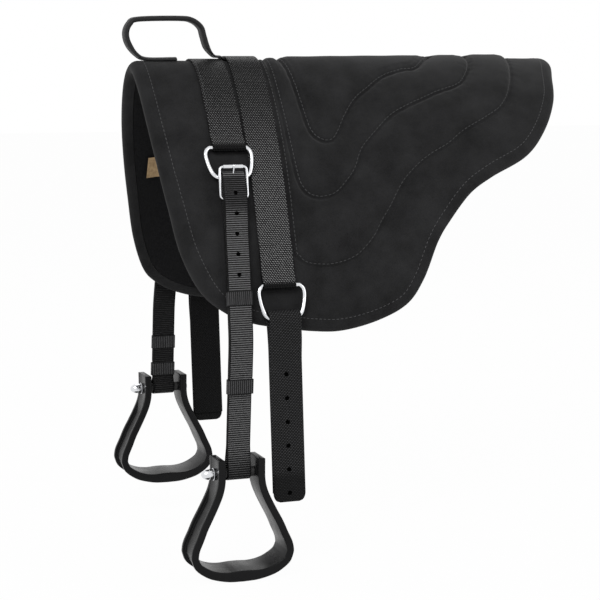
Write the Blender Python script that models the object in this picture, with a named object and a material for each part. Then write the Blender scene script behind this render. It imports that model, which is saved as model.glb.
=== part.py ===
"""Bareback pad with two stirrups, modelled at real size.

Units are metres and +Z is up. X runs from the front of the pad (-X) to its rear (+X).
The rider's left side is -Y and the right side is +Y. The origin is on the underside
of the pad, on its ridge, at mid-length.

Everything soft is drawn flat first, as a pattern: x along the pad, s the arc from the
ridge down the flap, h the height off the pad's outer face. drape() then lays that
pattern over a horse's back. Straps are drawn in the upright plane of one section.
"""

import math

import bmesh
import bpy
import numpy as np
from mathutils import Matrix, Vector
from mathutils.geometry import delaunay_2d_cdt

# Pad body
PAD_LENGTH = 0.616
FLAP_ARC = 0.410
PAD_THICKNESS = 0.020
SUEDE_THICKNESS = 0.0015
LINING_THICKNESS = 0.004
HEM_WIDTH = 0.014
SEAT_RISE = 0.0045
PANEL_CROWN = 0.0015
CHANNEL_DEPTH = 0.0035
CHANNEL_LIP = 0.008
CLEARANCE = 0.0003
CORE_GAP = 0.0009

# Shape of the back that the pad lies on: slope of the shoulder, the arc in which the
# slope is reached, and the further turn that the whole flap makes
FRONT_SHOULDER_DEG = 52.0
FRONT_CROWN = 0.030
FRONT_TURN_DEG = 51.4
MIDDLE_SHOULDER_DEG = 51.0
MIDDLE_CROWN = 0.031
MIDDLE_TURN_DEG = 33.6
REAR_SHOULDER_DEG = 20.0
REAR_CROWN = 0.060
REAR_TURN_DEG = 74.1
REAR_RISE = 0.0035
STEEPEST_DEG = 88.0
FRONT_BLEND_SHARE = 0.763
REAR_BLEND_SHARE = -0.422

# Rigging webs and their dees
WEB_WIDTH = 0.04445
WEB_THICKNESS = 0.0024
FRONT_WEB_X = -0.205
REAR_WEB_X = -0.1565
FRONT_BAR_ARC = 0.160
REAR_BAR_ARC = 0.344
WEB_RETURN = 0.045
BAR_HEIGHT = 0.006
DEE_WIRE = 0.0055
DEE_HALF_WIDTH = 0.031
DEE_DROP = 0.0445
FRONT_DEE_TILT_DEG = 3.0
REAR_DEE_TILT_DEG = 5.5
LEFT_FRONT_DEE_X = -0.207
RIGHT_FRONT_DEE_X = -0.2075
REAR_DEE_X = -0.154

# Stirrup straps
STRAP_WIDTH = 0.03175
STRAP_THICKNESS = 0.0024
LAYER_GAP = 0.0004
STRAP_STANDOFF = 0.0026
STRAP_LEAVES_ARC = 0.330
STRAP_BEND_DROP = 0.342
STRAP_BEND_LENGTH = 0.028
LEFT_BOLT_DROP = 0.527
RIGHT_BOLT_DROP = 0.478
LEFT_LOOP_SPREAD = 0.035
RIGHT_LOOP_SPREAD = 0.015
LEFT_STRAP_LEAN = 0.031
RIGHT_STRAP_LEAN = 0.030
TIP_LENGTH = 0.014
STRAP_HOLE = 0.0045
HOLE_PITCH = 0.026
STRAP_HOLES = 4

# Buckles
BUCKLE_WIRE = 0.0034
ROLLER_DROP = 0.031
ROLLER_HEIGHT = 0.009
ROLLER_DIAMETER = 0.0054
ROLLER_BORE = 0.0041
HINGE_BAR_DROP = 0.070
TONGUE_WIRE = 0.0024
SEWN_START = 0.084
SEWN_END = 0.100
TAIL_SETTLES = 0.116

# Keepers that slide on the straps
KEEPER_HEIGHT = 0.019
KEEPER_WALL = 0.0016
KEEPER_GAP = 0.0005
LEFT_UPPER_KEEPER_DROP = 0.293
LEFT_LOWER_KEEPER_DROP = 0.405
RIGHT_UPPER_KEEPER_DROP = 0.401
RIGHT_LOWER_KEEPER_DROP = 0.441

# Stirrups
STIRRUP_HALF_WIDTH = 0.069
STIRRUP_DROP = 0.1385
STIRRUP_WALL = 0.0094
STIRRUP_EAR_GAP = 0.044
STIRRUP_TREAD_THICKNESS = 0.0115
STIRRUP_EAR_DEPTH = 0.042
STIRRUP_TREAD_DEPTH = 0.052
STIRRUP_FLANGE = 0.007
STIRRUP_RECESS = 0.004
BOLT_DIAMETER = 0.008
BOLT_HEAD = 0.013
BOLT_HEAD_LENGTH = 0.005
BOLT_END = 0.012
NUT_ACROSS = 0.0144
NUT_LENGTH = 0.017
SLEEVE_DIAMETER = 0.013

# Latigo straps on the rear dees
LATIGO_WIDTH = 0.04445
LATIGO_THICKNESS = 0.0026
LATIGO_LEAN = 0.03
LATIGO_BEND_DROP = 0.345
LEFT_LATIGO_DROP = 0.572
RIGHT_LATIGO_DROP = 0.532
LATIGO_STEP = 0.012
LATIGO_HOLE = 0.006
LATIGO_HOLE_PITCH = 0.029
LATIGO_HOLES = 6
LATIGO_HOLE_MARGIN = 0.040

# Grab handle and the patch on the lining
HANDLE_WIDTH = 0.020
HANDLE_THICKNESS = 0.0055
HANDLE_FOOT_THICKNESS = 0.003
HANDLE_RISE = 0.0555
HANDLE_FRONT_X = -0.313
HANDLE_REAR_X = -0.140
HANDLE_FOOT_LIFT = 0.0062
PATCH_LENGTH = 0.035
PATCH_HEIGHT = 0.032
PATCH_THICKNESS = 0.0008
PATCH_DROP = 0.0032
PATCH_X = -0.252
PATCH_ARC = 0.190

# Outline and sewn lines of one half of the pattern. First value: share of half the
# pad's length, negative towards the front. Second value: share of the flap's arc.
OUTLINE_SHARES = [
    (-1.0, 0.0), (-1.0, 0.11), (-0.985, 0.27), (-0.96, 0.42), (-0.93, 0.56), (-0.89, 0.72),
    (-0.82, 0.855), (-0.73, 0.92), (-0.61, 0.957), (-0.48, 0.975), (-0.36, 0.99), (-0.22, 1.0),
    (-0.06, 0.985), (0.065, 0.95), (0.14, 0.88), (0.21, 0.77), (0.275, 0.705), (0.375, 0.63),
    (0.48, 0.588), (0.65, 0.535), (0.765, 0.447), (0.86, 0.325), (0.92, 0.2), (0.975, 0.095),
    (1.0, 0.0),
]
INNER_SEAM_SHARES = [
    (-0.33, 0.0), (-0.315, 0.16), (-0.305, 0.256), (-0.285, 0.341), (-0.23, 0.378),
    (-0.175, 0.368), (-0.11, 0.293), (-0.05, 0.237), (0.02, 0.198), (0.11, 0.15),
    (0.21, 0.124), (0.29, 0.11), (0.41, 0.0),
]
MIDDLE_SEAM_SHARES = [
    (-0.393, 0.0), (-0.40, 0.151), (-0.393, 0.327), (-0.383, 0.451), (-0.37, 0.515),
    (-0.334, 0.554), (-0.276, 0.568), (-0.211, 0.559), (-0.162, 0.529), (-0.11, 0.485),
    (-0.065, 0.42), (0.01, 0.366), (0.09, 0.317), (0.172, 0.29), (0.25, 0.27),
    (0.328, 0.249), (0.416, 0.232), (0.474, 0.2), (0.54, 0.12), (0.588, 0.0),
]
SEAT_SEAM_SHARES = [
    (-0.425, 0.0), (-0.425, 0.366), (-0.425, 0.707), (-0.406, 0.756), (-0.367, 0.778),
    (-0.295, 0.788), (-0.24, 0.788), (-0.182, 0.78), (-0.127, 0.761), (-0.062, 0.715),
    (-0.026, 0.673), (0.02, 0.629), (0.065, 0.578), (0.104, 0.544), (0.166, 0.507),
    (0.224, 0.483), (0.312, 0.456), (0.386, 0.422), (0.506, 0.383), (0.591, 0.346),
    (0.659, 0.278), (0.724, 0.166), (0.795, 0.0),
]
OUTLINE_STEPS = 26
INNER_SEAM_STEPS = 9
MIDDLE_SEAM_STEPS = 13
SEAT_SEAM_STEPS = 19
RIDGE_DENSITY_SHARE = 2.5

HALF_LENGTH = PAD_LENGTH / 2
RIM_RADIUS = PAD_THICKNESS / 2
LAYER_PITCH = STRAP_THICKNESS + LAYER_GAP
ARC_STEPS = 64
SIDES = {"left": -1, "right": 1}


def smoothstep(value):
    """Ease from 0 to 1 with a level start and end."""
    value = np.clip(value, 0, 1)
    return value * value * (3 - 2 * value)


def blend(front, middle, rear, share):
    """Mix the three section values for a place along the pad."""
    to_front = smoothstep((-share - FRONT_BLEND_SHARE) / (1 - FRONT_BLEND_SHARE))
    to_rear = smoothstep((share - REAR_BLEND_SHARE) / (1 - REAR_BLEND_SHARE))
    return middle + (front - middle) * to_front + (rear - middle) * to_rear


def slope_at(x, arc):
    """Slope of the back, in radians below level, at an arc from the ridge."""
    share = x / HALF_LENGTH
    shoulder = blend(FRONT_SHOULDER_DEG, MIDDLE_SHOULDER_DEG, REAR_SHOULDER_DEG, share)
    crown = blend(FRONT_CROWN, MIDDLE_CROWN, REAR_CROWN, share)
    turn = blend(FRONT_TURN_DEG, MIDDLE_TURN_DEG, REAR_TURN_DEG, share)
    slope = shoulder * (1 - np.exp(-arc / crown)) + turn * arc / FLAP_ARC
    return np.radians(np.minimum(slope, STEEPEST_DEG))


def ridge_rise(x):
    """Height of the ridge over its height at mid-length."""
    share = x / HALF_LENGTH
    return blend(0, 0, REAR_RISE, share) - blend(0, 0, REAR_RISE, np.zeros_like(share))


def drape(x, s, h):
    """Place a point of the flat pattern on the back: x, arc (left negative), height."""
    x, s, h = (np.asarray(value, dtype=float) for value in (x, s, h))
    x, s, h = np.broadcast_arrays(x, s, h)
    arc = np.abs(s)
    parts = (np.arange(ARC_STEPS) + 0.5) / ARC_STEPS
    slopes = slope_at(x[..., None], arc[..., None] * parts)
    slope = slope_at(x, arc)
    out = arc * np.cos(slopes).mean(-1) + h * np.sin(slope)
    up = PAD_THICKNESS + ridge_rise(x) - arc * np.sin(slopes).mean(-1) + h * np.cos(slope)
    return np.stack([x, np.sign(s) * out, up], -1)


def section(x, s, h):
    """The same place in the upright plane of the section at x: outward and up."""
    point = drape(x, s, h)
    return np.array([point[1], point[2]])


def local_frame(x, bar_arc, tilt_deg):
    """Origin on a web's bar, with the directions down a dee and out of it."""
    origin = section(x, bar_arc, BAR_HEIGHT)
    angle = float(slope_at(np.array(x), np.array(bar_arc + DEE_DROP / 2)))
    angle -= math.radians(tilt_deg)
    down = np.array([math.cos(angle), -math.sin(angle)])
    out = np.array([math.sin(angle), math.cos(angle)])
    return origin, down, out


def local(frame, drop, lift):
    """Point of a dee's own frame: drop down the dee, lift out of its plane."""
    origin, down, out = frame
    return origin + down * drop + out * lift


def arc_points(centre, radius, start_deg, end_deg, steps):
    """Points round a centre; 0 degrees points outward and 90 up."""
    angles = np.radians(np.linspace(start_deg, end_deg, steps + 1))
    return [np.array(centre) + radius * np.array([math.cos(a), math.sin(a)]) for a in angles]


def offset_path(points, distance):
    """Move an open path sideways; positive is to the left of its direction."""
    points = np.array(points, dtype=float)
    steps = np.diff(points, axis=0)
    steps /= np.linalg.norm(steps, axis=1)[:, None]
    normals = np.stack([-steps[:, 1], steps[:, 0]], 1)
    before = np.vstack([normals[:1], normals])
    after = np.vstack([normals, normals[-1:]])
    middle = before + after
    middle /= (middle * before).sum(1)[:, None]
    distance = np.broadcast_to(distance, len(points))
    return points + middle * distance[:, None]


def rounded_curve(points, steps, closed=False, weights=None):
    """Even points on a smooth curve through the given ones (centripetal Catmull-Rom)."""
    points = np.array(points, dtype=float)
    if closed:
        padded = np.vstack([points[-1:], points, points[:2]])
    else:
        padded = np.vstack([2 * points[0] - points[1], points, 2 * points[-1] - points[-2]])
    fine = []
    for a, b, c, d in zip(padded, padded[1:], padded[2:], padded[3:]):
        knots = np.cumsum([0] + [np.linalg.norm(q - p) ** 0.5 for p, q in ((a, b), (b, c), (c, d))])
        for t in np.linspace(knots[1], knots[2], 12, endpoint=False):
            ab = a + (b - a) * (t - knots[0]) / (knots[1] - knots[0])
            bc = b + (c - b) * (t - knots[1]) / (knots[2] - knots[1])
            cd = c + (d - c) * (t - knots[2]) / (knots[3] - knots[2])
            abc = ab + (bc - ab) * (t - knots[0]) / (knots[2] - knots[0])
            bcd = bc + (cd - bc) * (t - knots[1]) / (knots[3] - knots[1])
            fine.append(abc + (bcd - abc) * (t - knots[1]) / (knots[2] - knots[1]))
    fine.append(padded[-2])
    fine = np.array(fine)
    lengths = np.linalg.norm(np.diff(fine, axis=0), axis=1)
    if weights is not None:
        lengths = lengths * weights((fine[1:] + fine[:-1]) / 2)
    along = np.concatenate([[0], np.cumsum(lengths)])
    wanted = np.linspace(0, along[-1], steps + 1)
    curve = np.stack([np.interp(wanted, along, fine[:, k]) for k in range(fine.shape[1])], 1)
    return curve[:-1] if closed else curve


def half_loop(shares, steps):
    """Closed loop of the whole pattern from the shares of its right half."""
    half = np.array(shares) * [HALF_LENGTH, FLAP_ARC]
    mirrored = half[1:-1][::-1] * [1, -1]
    whole = np.vstack([mirrored[-1:], half, mirrored[:1]])
    curve = rounded_curve(whole, len(whole) * 12)
    first = np.argmin(np.hypot(*(curve - half[0]).T))
    last = np.argmin(np.hypot(*(curve - half[-1]).T))
    right = np.vstack([half[:1], curve[first + 1:last], half[-1:]])

    def ridge_weight(points):
        return 1 + RIDGE_DENSITY_SHARE * np.exp(-(points[:, 1] / MIDDLE_CROWN) ** 2)

    right = rounded_curve(right, steps, weights=ridge_weight)
    return np.vstack([right, right[1:-1][::-1] * [1, -1]])


def inset(loop, distance):
    """Move a closed loop inward, keeping its sides parallel."""
    ahead = np.roll(loop, -1, axis=0) - loop
    ahead /= np.linalg.norm(ahead, axis=1)[:, None]
    normals = np.stack([-ahead[:, 1], ahead[:, 0]], 1)
    area = (loop[:, 0] * np.roll(loop[:, 1], -1) - loop[:, 1] * np.roll(loop[:, 0], -1)).sum()
    normals *= math.copysign(1, area)
    middle = normals + np.roll(normals, 1, axis=0)
    middle /= np.maximum((middle * normals).sum(1), 0.5)[:, None]
    return loop + middle * distance


def distance_to(points, loop):
    """Distance of each point to a closed loop, negative outside it."""
    start, end = loop, np.roll(loop, -1, axis=0)
    step = end - start
    offset = points[:, None] - start[None]
    along = (offset * step[None]).sum(-1) / (step * step).sum(-1)[None]
    nearest = offset - np.clip(along, 0, 1)[..., None] * step[None]
    distance = np.sqrt((nearest ** 2).sum(-1)).min(1)
    crosses = (start[None, :, 1] > points[:, None, 1]) != (end[None, :, 1] > points[:, None, 1])
    rise = np.where(step[:, 1] == 0, 1, step[:, 1])
    at_x = start[None, :, 0] + (points[:, None, 1] - start[None, :, 1]) * (step[:, 0] / rise)[None]
    inside = ((crosses & (points[:, None, 0] < at_x)).sum(1) % 2) == 1
    return np.where(inside, distance, -distance)


def clear_scene():
    """Remove every object of the open scene."""
    for item in list(bpy.data.objects):
        bpy.data.objects.remove(item, do_unlink=True)


def new_collection(name):
    """Make a collection in the scene."""
    collection = bpy.data.collections.new(name)
    bpy.context.scene.collection.children.link(collection)
    return collection


def material(name, colour, roughness, metallic=0.0):
    """Principled material of one colour."""
    made = bpy.data.materials.new(name)
    made.use_nodes = True
    shader = made.node_tree.nodes["Principled BSDF"]
    shader.inputs["Base Color"].default_value = (*colour, 1.0)
    shader.inputs["Roughness"].default_value = roughness
    shader.inputs["Metallic"].default_value = metallic
    made.diffuse_color = (*colour, 1.0)
    return made


def mesh_object(name, points, faces, finish, collection):
    """Object from points and faces, its faces turned outward."""
    mesh = bpy.data.meshes.new(name)
    mesh.from_pydata([tuple(map(float, p)) for p in points], [], [list(map(int, f)) for f in faces])
    shape = bmesh.new()
    shape.from_mesh(mesh)
    bmesh.ops.recalc_face_normals(shape, faces=shape.faces)
    bmesh.ops.triangulate(shape, faces=[f for f in shape.faces if len(f.verts) > 4])
    shape.to_mesh(mesh)
    shape.free()
    mesh.shade_smooth()
    mesh.set_sharp_from_angle(angle=math.radians(40))
    mesh.materials.append(finish)
    made = bpy.data.objects.new(name, mesh)
    collection.objects.link(made)
    return made


def ribbon(name, path, width, thickness, x, side, finish, collection):
    """Flat strap along a path (outward, up); x, width and thickness may vary along it."""
    path = np.array(path, dtype=float)
    width = np.broadcast_to(width, len(path))
    thickness = np.broadcast_to(thickness, len(path))
    x = np.broadcast_to(x, len(path))
    outer = offset_path(path, thickness / 2)
    inner = offset_path(path, -thickness / 2)
    rings = []
    for k in range(len(path)):
        corners = [(outer[k], -1), (outer[k], 1), (inner[k], 1), (inner[k], -1)]
        rings.append([(x[k] + sign * width[k] / 2, side * p[0], p[1]) for p, sign in corners])
    return loft(name, rings, finish, collection)


def loft(name, rings, finish, collection, closed=False):
    """Skin closed rings of equal count, with flat ends unless the loft is closed."""
    count = len(rings[0])
    points = [p for ring in rings for p in ring]
    faces = []
    last = len(rings) if closed else len(rings) - 1
    for k in range(last):
        low = k * count
        high = (k + 1) % len(rings) * count
        for j in range(count):
            turn = (j + 1) % count
            faces.append((low + j, low + turn, high + turn, high + j))
    if not closed:
        faces.append(range(count))
        faces.append(range(len(points) - count, len(points)))
    return mesh_object(name, points, faces, finish, collection)


def wire(name, points, diameter, finish, collection, closed=False, resolution=1):
    """Round wire along points, as a mesh with welded caps."""
    curve = bpy.data.curves.new(name, "CURVE")
    curve.dimensions = "3D"
    curve.bevel_depth = diameter / 2
    curve.bevel_resolution = resolution
    curve.use_fill_caps = not closed
    spline = curve.splines.new("POLY")
    spline.points.add(len(points) - 1)
    for target, point in zip(spline.points, points):
        target.co = (*map(float, point), 1.0)
    spline.use_cyclic_u = closed
    source = bpy.data.objects.new(name + "_curve", curve)
    collection.objects.link(source)
    graph = bpy.context.evaluated_depsgraph_get()
    mesh = bpy.data.meshes.new_from_object(source.evaluated_get(graph))
    bpy.data.objects.remove(source, do_unlink=True)
    shape = bmesh.new()
    shape.from_mesh(mesh)
    bmesh.ops.remove_doubles(shape, verts=shape.verts, dist=CLEARANCE / 100)
    bmesh.ops.recalc_face_normals(shape, faces=shape.faces)
    shape.to_mesh(mesh)
    shape.free()
    mesh.shade_smooth()
    mesh.set_sharp_from_angle(angle=math.radians(50))
    mesh.materials.clear()
    mesh.materials.append(finish)
    made = bpy.data.objects.new(name, mesh)
    collection.objects.link(made)
    return made


def turned(name, profile, centre, finish, collection, sides=20):
    """Solid turned about an axis along X; the profile holds (x, radius) pairs."""
    rings = []
    for along, radius in profile:
        angles = [2 * math.pi * k / sides for k in range(sides)]
        rings.append([(centre[0] + along, centre[1] + radius * math.cos(a),
                       centre[2] + radius * math.sin(a)) for a in angles])
    bored = profile[0][0] == profile[-1][0]
    return loft(name, rings, finish, collection, closed=bored)


def box_cutter(name, centre, down, out, side, x_size, size, collection):
    """Box in a strap's own directions; size holds its reach down and out."""
    points = []
    for x_sign in (-1, 1):
        for d_sign, o_sign in ((-1, -1), (1, -1), (1, 1), (-1, 1)):
            p = np.array(centre[1:]) + down * d_sign * size[0] / 2 + out * o_sign * size[1] / 2
            points.append((centre[0] + x_sign * x_size / 2, side * p[0], p[1]))
    faces = [(0, 1, 2, 3), (4, 5, 6, 7)]
    faces += [(k, (k + 1) % 4, 4 + (k + 1) % 4, 4 + k) for k in range(4)]
    return as_cutter(mesh_object(name, points, faces, None, collection))


def round_cutter(name, centre, direction, diameter, depth, collection, sides=10):
    """Round cutter centred on a point, its axis along a direction."""
    shape = bmesh.new()
    bmesh.ops.create_cone(shape, cap_ends=True, segments=sides, radius1=diameter / 2,
                          radius2=diameter / 2, depth=depth)
    mesh = bpy.data.meshes.new(name)
    shape.to_mesh(mesh)
    shape.free()
    turn = Vector(direction).to_track_quat("Z", "Y").to_matrix().to_4x4()
    mesh.transform(Matrix.Translation(centre) @ turn)
    made = bpy.data.objects.new(name, mesh)
    collection.objects.link(made)
    return as_cutter(made)


def as_cutter(made):
    """Leave an object out of the model, as a tool for cutting."""
    made.hide_render = True
    made.display_type = "WIRE"
    made.hide_set(True)
    return made


def cut(target, cutter):
    """Cut one object out of another with an exact Boolean."""
    modifier = target.modifiers.new("cut_" + cutter.name, "BOOLEAN")
    modifier.operation = "DIFFERENCE"
    modifier.solver = "EXACT"
    modifier.object = cutter


def hang(piece, pivot):
    """Parent a piece to an empty on its joint's axis, keeping its place."""
    piece.parent = pivot
    piece.matrix_parent_inverse = pivot.matrix_world.inverted()


def pivot_at(name, place, collection, parent=None):
    """Empty on a joint's axis."""
    pivot = bpy.data.objects.new(name, None)
    pivot.empty_display_size = STRAP_WIDTH
    pivot.location = place
    collection.objects.link(pivot)
    if parent is not None:
        pivot.parent = parent
        pivot.location = Vector(place) - parent.matrix_world.translation
    bpy.context.view_layer.update()
    return pivot

# The pad: a suede cover with a rolled rim, a foam core and a felt lining
COVER_ROLL_STEPS = 4
CORE_GRID_X = 0.052
CORE_GRID_ARC = 0.045
RIDGE_ROW_SHARES = (0, 0.42, 0.9)
KEEP_OFF_SHARE = 0.42


def relief(points, seams):
    """Height of the quilted top over the flat margin."""
    inner, middle, seat = (distance_to(points, seam) for seam in seams)
    inner, middle = np.abs(inner), np.abs(middle)
    raised = SEAT_RISE * smoothstep(seat / CHANNEL_LIP)
    nearest = np.minimum(inner, middle)
    groove = CHANNEL_DEPTH * (1 - smoothstep(nearest / CHANNEL_LIP))
    full = np.minimum(nearest, np.maximum(seat, 0))
    crown = PANEL_CROWN * smoothstep((full - CHANNEL_LIP) / CHANNEL_LIP)
    return raised - groove + crown


def grid_points(border, lines, clear):
    """Rows of points inside a border, kept clear of it and of the sewn lines."""
    rows = [share * MIDDLE_CROWN * sign for share in RIDGE_ROW_SHARES for sign in (1, -1)]
    further = np.arange(MIDDLE_CROWN * RIDGE_ROW_SHARES[-1] + CORE_GRID_ARC, FLAP_ARC, CORE_GRID_ARC)
    rows = sorted(set(rows) | set(further) | set(-further))
    places = np.arange(-HALF_LENGTH, HALF_LENGTH, CORE_GRID_X)
    points = np.array([(x, s) for s in rows for x in places])
    keep = distance_to(points, border) > clear
    for line in lines:
        keep &= np.abs(distance_to(points, line)) > clear
    return points[keep]


def triangulate(loops, points):
    """Triangles inside the first loop, with every loop's edges kept."""
    coords = [tuple(map(float, p)) for loop in loops for p in loop]
    edges = []
    start = 0
    for loop in loops:
        edges += [(start + k, start + (k + 1) % len(loop)) for k in range(len(loop))]
        start += len(loop)
    coords += [tuple(map(float, p)) for p in points]
    found = delaunay_2d_cdt([Vector(c) for c in coords], edges, [], 0, 1e-9, True)
    flat = np.array([tuple(v) for v in found[0]])
    triangles = np.array([tuple(face) for face in found[2]])
    inside = distance_to(flat[triangles].mean(1), loops[0]) > 0
    return flat, [tuple(face) for face in triangles[inside]]


def ring_faces(low, high):
    """Triangles between two rings of vertex numbers, all split the same way."""
    faces = []
    for a, b, c, d in zip(low, np.roll(low, -1), np.roll(high, -1), high):
        faces += [(a, b, c), (a, c, d)]
    return faces


def pattern():
    """The loops of the flat pattern and its shared triangles."""
    outline = half_loop(OUTLINE_SHARES, OUTLINE_STEPS)
    seams = [half_loop(INNER_SEAM_SHARES, INNER_SEAM_STEPS),
             half_loop(MIDDLE_SEAM_SHARES, MIDDLE_SEAM_STEPS),
             half_loop(SEAT_SEAM_SHARES, SEAT_SEAM_STEPS)]
    top_ring = inset(outline, RIM_RADIUS)
    lips = [inset(seams[2], CHANNEL_LIP)]
    for seam in seams[:2]:
        lips += [inset(seam, CHANNEL_LIP), inset(seam, -CHANNEL_LIP)]
    clear = CORE_GRID_ARC * KEEP_OFF_SHARE
    inside = grid_points(top_ring, seams, clear)
    top = triangulate([top_ring] + seams + lips, inside)
    return outline, seams, top_ring, top


def raised_points(flat, seams, height):
    """Place flat points on the back at a height under the quilted top."""
    return drape(flat[:, 0], flat[:, 1], relief(flat, seams) + height)


def ring_points(outline, inward, height):
    """Draped ring at a distance in from the outline."""
    ring = inset(outline, inward)
    return drape(ring[:, 0], ring[:, 1], np.full(len(ring), height))


def make_cover(shape, finish, collection):
    """Suede top, rolled round the rim and turned under as a hem."""
    outline, seams, top_ring, (flat, triangles) = shape
    count = len(outline)
    suede = SUEDE_THICKNESS
    rings = []
    for k in range(1, COVER_ROLL_STEPS + 1):
        angle = math.pi * k / COVER_ROLL_STEPS
        rings.append((RIM_RADIUS * (1 - math.sin(angle)), RIM_RADIUS * (math.cos(angle) - 1)))
    rings.append((HEM_WIDTH, -PAD_THICKNESS))
    rings.append((HEM_WIDTH, suede - PAD_THICKNESS))
    rings.append((RIM_RADIUS, suede - PAD_THICKNESS))
    rings.append((suede, -RIM_RADIUS))
    points = [raised_points(flat, seams, 0)]
    points += [ring_points(outline, inward, height) for inward, height in rings]
    points.append(raised_points(flat, seams, -suede))
    faces = list(triangles)
    low = np.arange(count)
    start = len(flat)
    for _ in rings:
        high = start + np.arange(count)
        faces += ring_faces(low, high)
        low = high
        start += count
    faces += ring_faces(low, start + np.arange(count))
    faces += [tuple(start + k for k in face) for face in triangles]
    return mesh_object("suede_cover", np.vstack(points), faces, finish, collection)


def under_pattern(outline, core_inset):
    """Shared triangles of the core's underside and the lining."""
    core_ring = inset(outline, core_inset)
    lining_ring = inset(outline, HEM_WIDTH + CLEARANCE)
    inside = grid_points(lining_ring, [], CORE_GRID_ARC * KEEP_OFF_SHARE)
    return triangulate([core_ring, lining_ring], inside)


def core_foot_inset():
    """How far in from the outline the core's lower edge lies, along the rolled rim."""
    gap = CORE_GAP
    return RIM_RADIUS + SUEDE_THICKNESS - LINING_THICKNESS + (math.sqrt(2) - 1) * gap


def make_core(shape, finish, collection):
    """Foam sheet between the cover and the lining, a small gap from both."""
    outline, seams, top_ring, (flat, triangles) = shape
    count = len(outline)
    gap = CORE_GAP
    slack = math.sqrt(2) * gap
    top_inset = RIM_RADIUS + slack - gap
    foot_inset = core_foot_inset()
    top = flat.copy()
    top[:count] = inset(outline, top_inset)
    under, under_faces = under_pattern(outline, foot_inset)
    points = np.vstack([
        raised_points(top, seams, -SUEDE_THICKNESS - gap),
        ring_points(outline, SUEDE_THICKNESS + slack, -RIM_RADIUS),
        drape(under[:, 0], under[:, 1],
              np.full(len(under), LINING_THICKNESS + gap - PAD_THICKNESS)),
    ])
    middle = len(flat) + np.arange(count)
    foot = len(flat) + count
    faces = list(triangles) + ring_faces(middle, np.arange(count))
    faces += ring_faces(foot + np.arange(count), middle)
    faces += [tuple(foot + k for k in face) for face in under_faces]
    return mesh_object("foam_core", points, faces, finish, collection)


def make_lining(shape, finish, collection):
    """Felt against the back, inside the turned hem."""
    outline = shape[0]
    count = len(outline)
    flat, triangles = under_pattern(outline, core_foot_inset())
    triangles = [face for face in triangles if min(face) >= count]
    flat = flat[count:]
    triangles = [tuple(k - count for k in face) for face in triangles]
    low = drape(flat[:, 0], flat[:, 1], np.full(len(flat), -PAD_THICKNESS))
    high = drape(flat[:, 0], flat[:, 1], np.full(len(flat), LINING_THICKNESS - PAD_THICKNESS))
    rim = np.arange(count)
    faces = triangles + [tuple(len(flat) + k for k in face) for face in triangles]
    faces += ring_faces(rim, len(flat) + rim)
    return mesh_object("felt_lining", np.vstack([low, high]), faces, finish, collection)


# Rigging webs: each runs over the pad, round the two dee bars and back under itself
WEB_LIFT = 0.0005
OVERLAP_START_SHARE = 1.15
OVERLAP_END_SHARE = 0.4
BAR_WRAP_GAP = 0.0005
BAR_WRAP_LIFT = 0.00015
WEB_CROWN_STEPS = 5
FOOT_CLEAR_ARC = 0.017
FOOT_RAMP_ARC = 0.045


def web_half(bar_arc, x, foot_lift):
    """Path of one half of a web, from the ridge out to its returned end."""
    middle = WEB_LIFT + WEB_THICKNESS / 2
    doubled = middle + WEB_THICKNESS + CLEARANCE + WEB_LIFT / 5
    round_bar = DEE_WIRE / 2 + BAR_WRAP_GAP + WEB_THICKNESS / 2
    start = bar_arc - WEB_RETURN * OVERLAP_START_SHARE
    end = bar_arc - WEB_RETURN * OVERLAP_END_SHARE
    arcs = list(np.linspace(0, MIDDLE_CROWN, WEB_CROWN_STEPS))
    arcs += list(np.linspace(MIDDLE_CROWN, start, max(3, round(start / MIDDLE_CROWN)) + 1)[1:])
    path = []
    for arc in arcs:
        lift = foot_lift * (1 - smoothstep((arc - FOOT_CLEAR_ARC) / (FOOT_RAMP_ARC - FOOT_CLEAR_ARC)))
        path.append(section(x, arc, middle + lift))
    rise = doubled - middle
    path.append(section(x, (start * 2 + end) / 3, middle + rise))
    path.append(section(x, end, doubled))
    centre = section(x, bar_arc, BAR_HEIGHT + BAR_WRAP_LIFT)
    lean = math.degrees(float(slope_at(np.array(x), np.array(bar_arc))))
    path += arc_points(centre, round_bar, 90 - lean, -90 - lean, 8)
    under = [bar_arc - WEB_RETURN * share for share in (OVERLAP_END_SHARE, 0.7, 1.0)]
    path += [section(x, arc, middle) for arc in under]
    return path


def make_web(name, x, bar_arc, foot_lift, finish, collection):
    """One web across the whole pad, with its two ends returned."""
    half = web_half(bar_arc, x, foot_lift)
    left = [np.array([-p[0], p[1]]) for p in half[1:]][::-1]
    path = left + half
    return ribbon(name, path, WEB_WIDTH, WEB_THICKNESS, x, 1, finish, collection)


# Grab handle: a stuffed strap over the pommel, drawn as shares of its reach and rise
HANDLE_SHARES = [
    (0.393, 0.037), (0.16, 0.037), (0.075, 0.162), (0.017, 0.396), (0.0, 0.649), (0.029, 0.865),
    (0.098, 0.973), (0.422, 1.0), (0.526, 0.955), (0.595, 0.793), (0.618, 0.577),
    (0.647, 0.306), (0.70, 0.117), (0.75, 0.09), (0.80, 0.042), (1.0, 0.036),
]
HANDLE_FOOT_SHARE = 0.12


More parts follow.
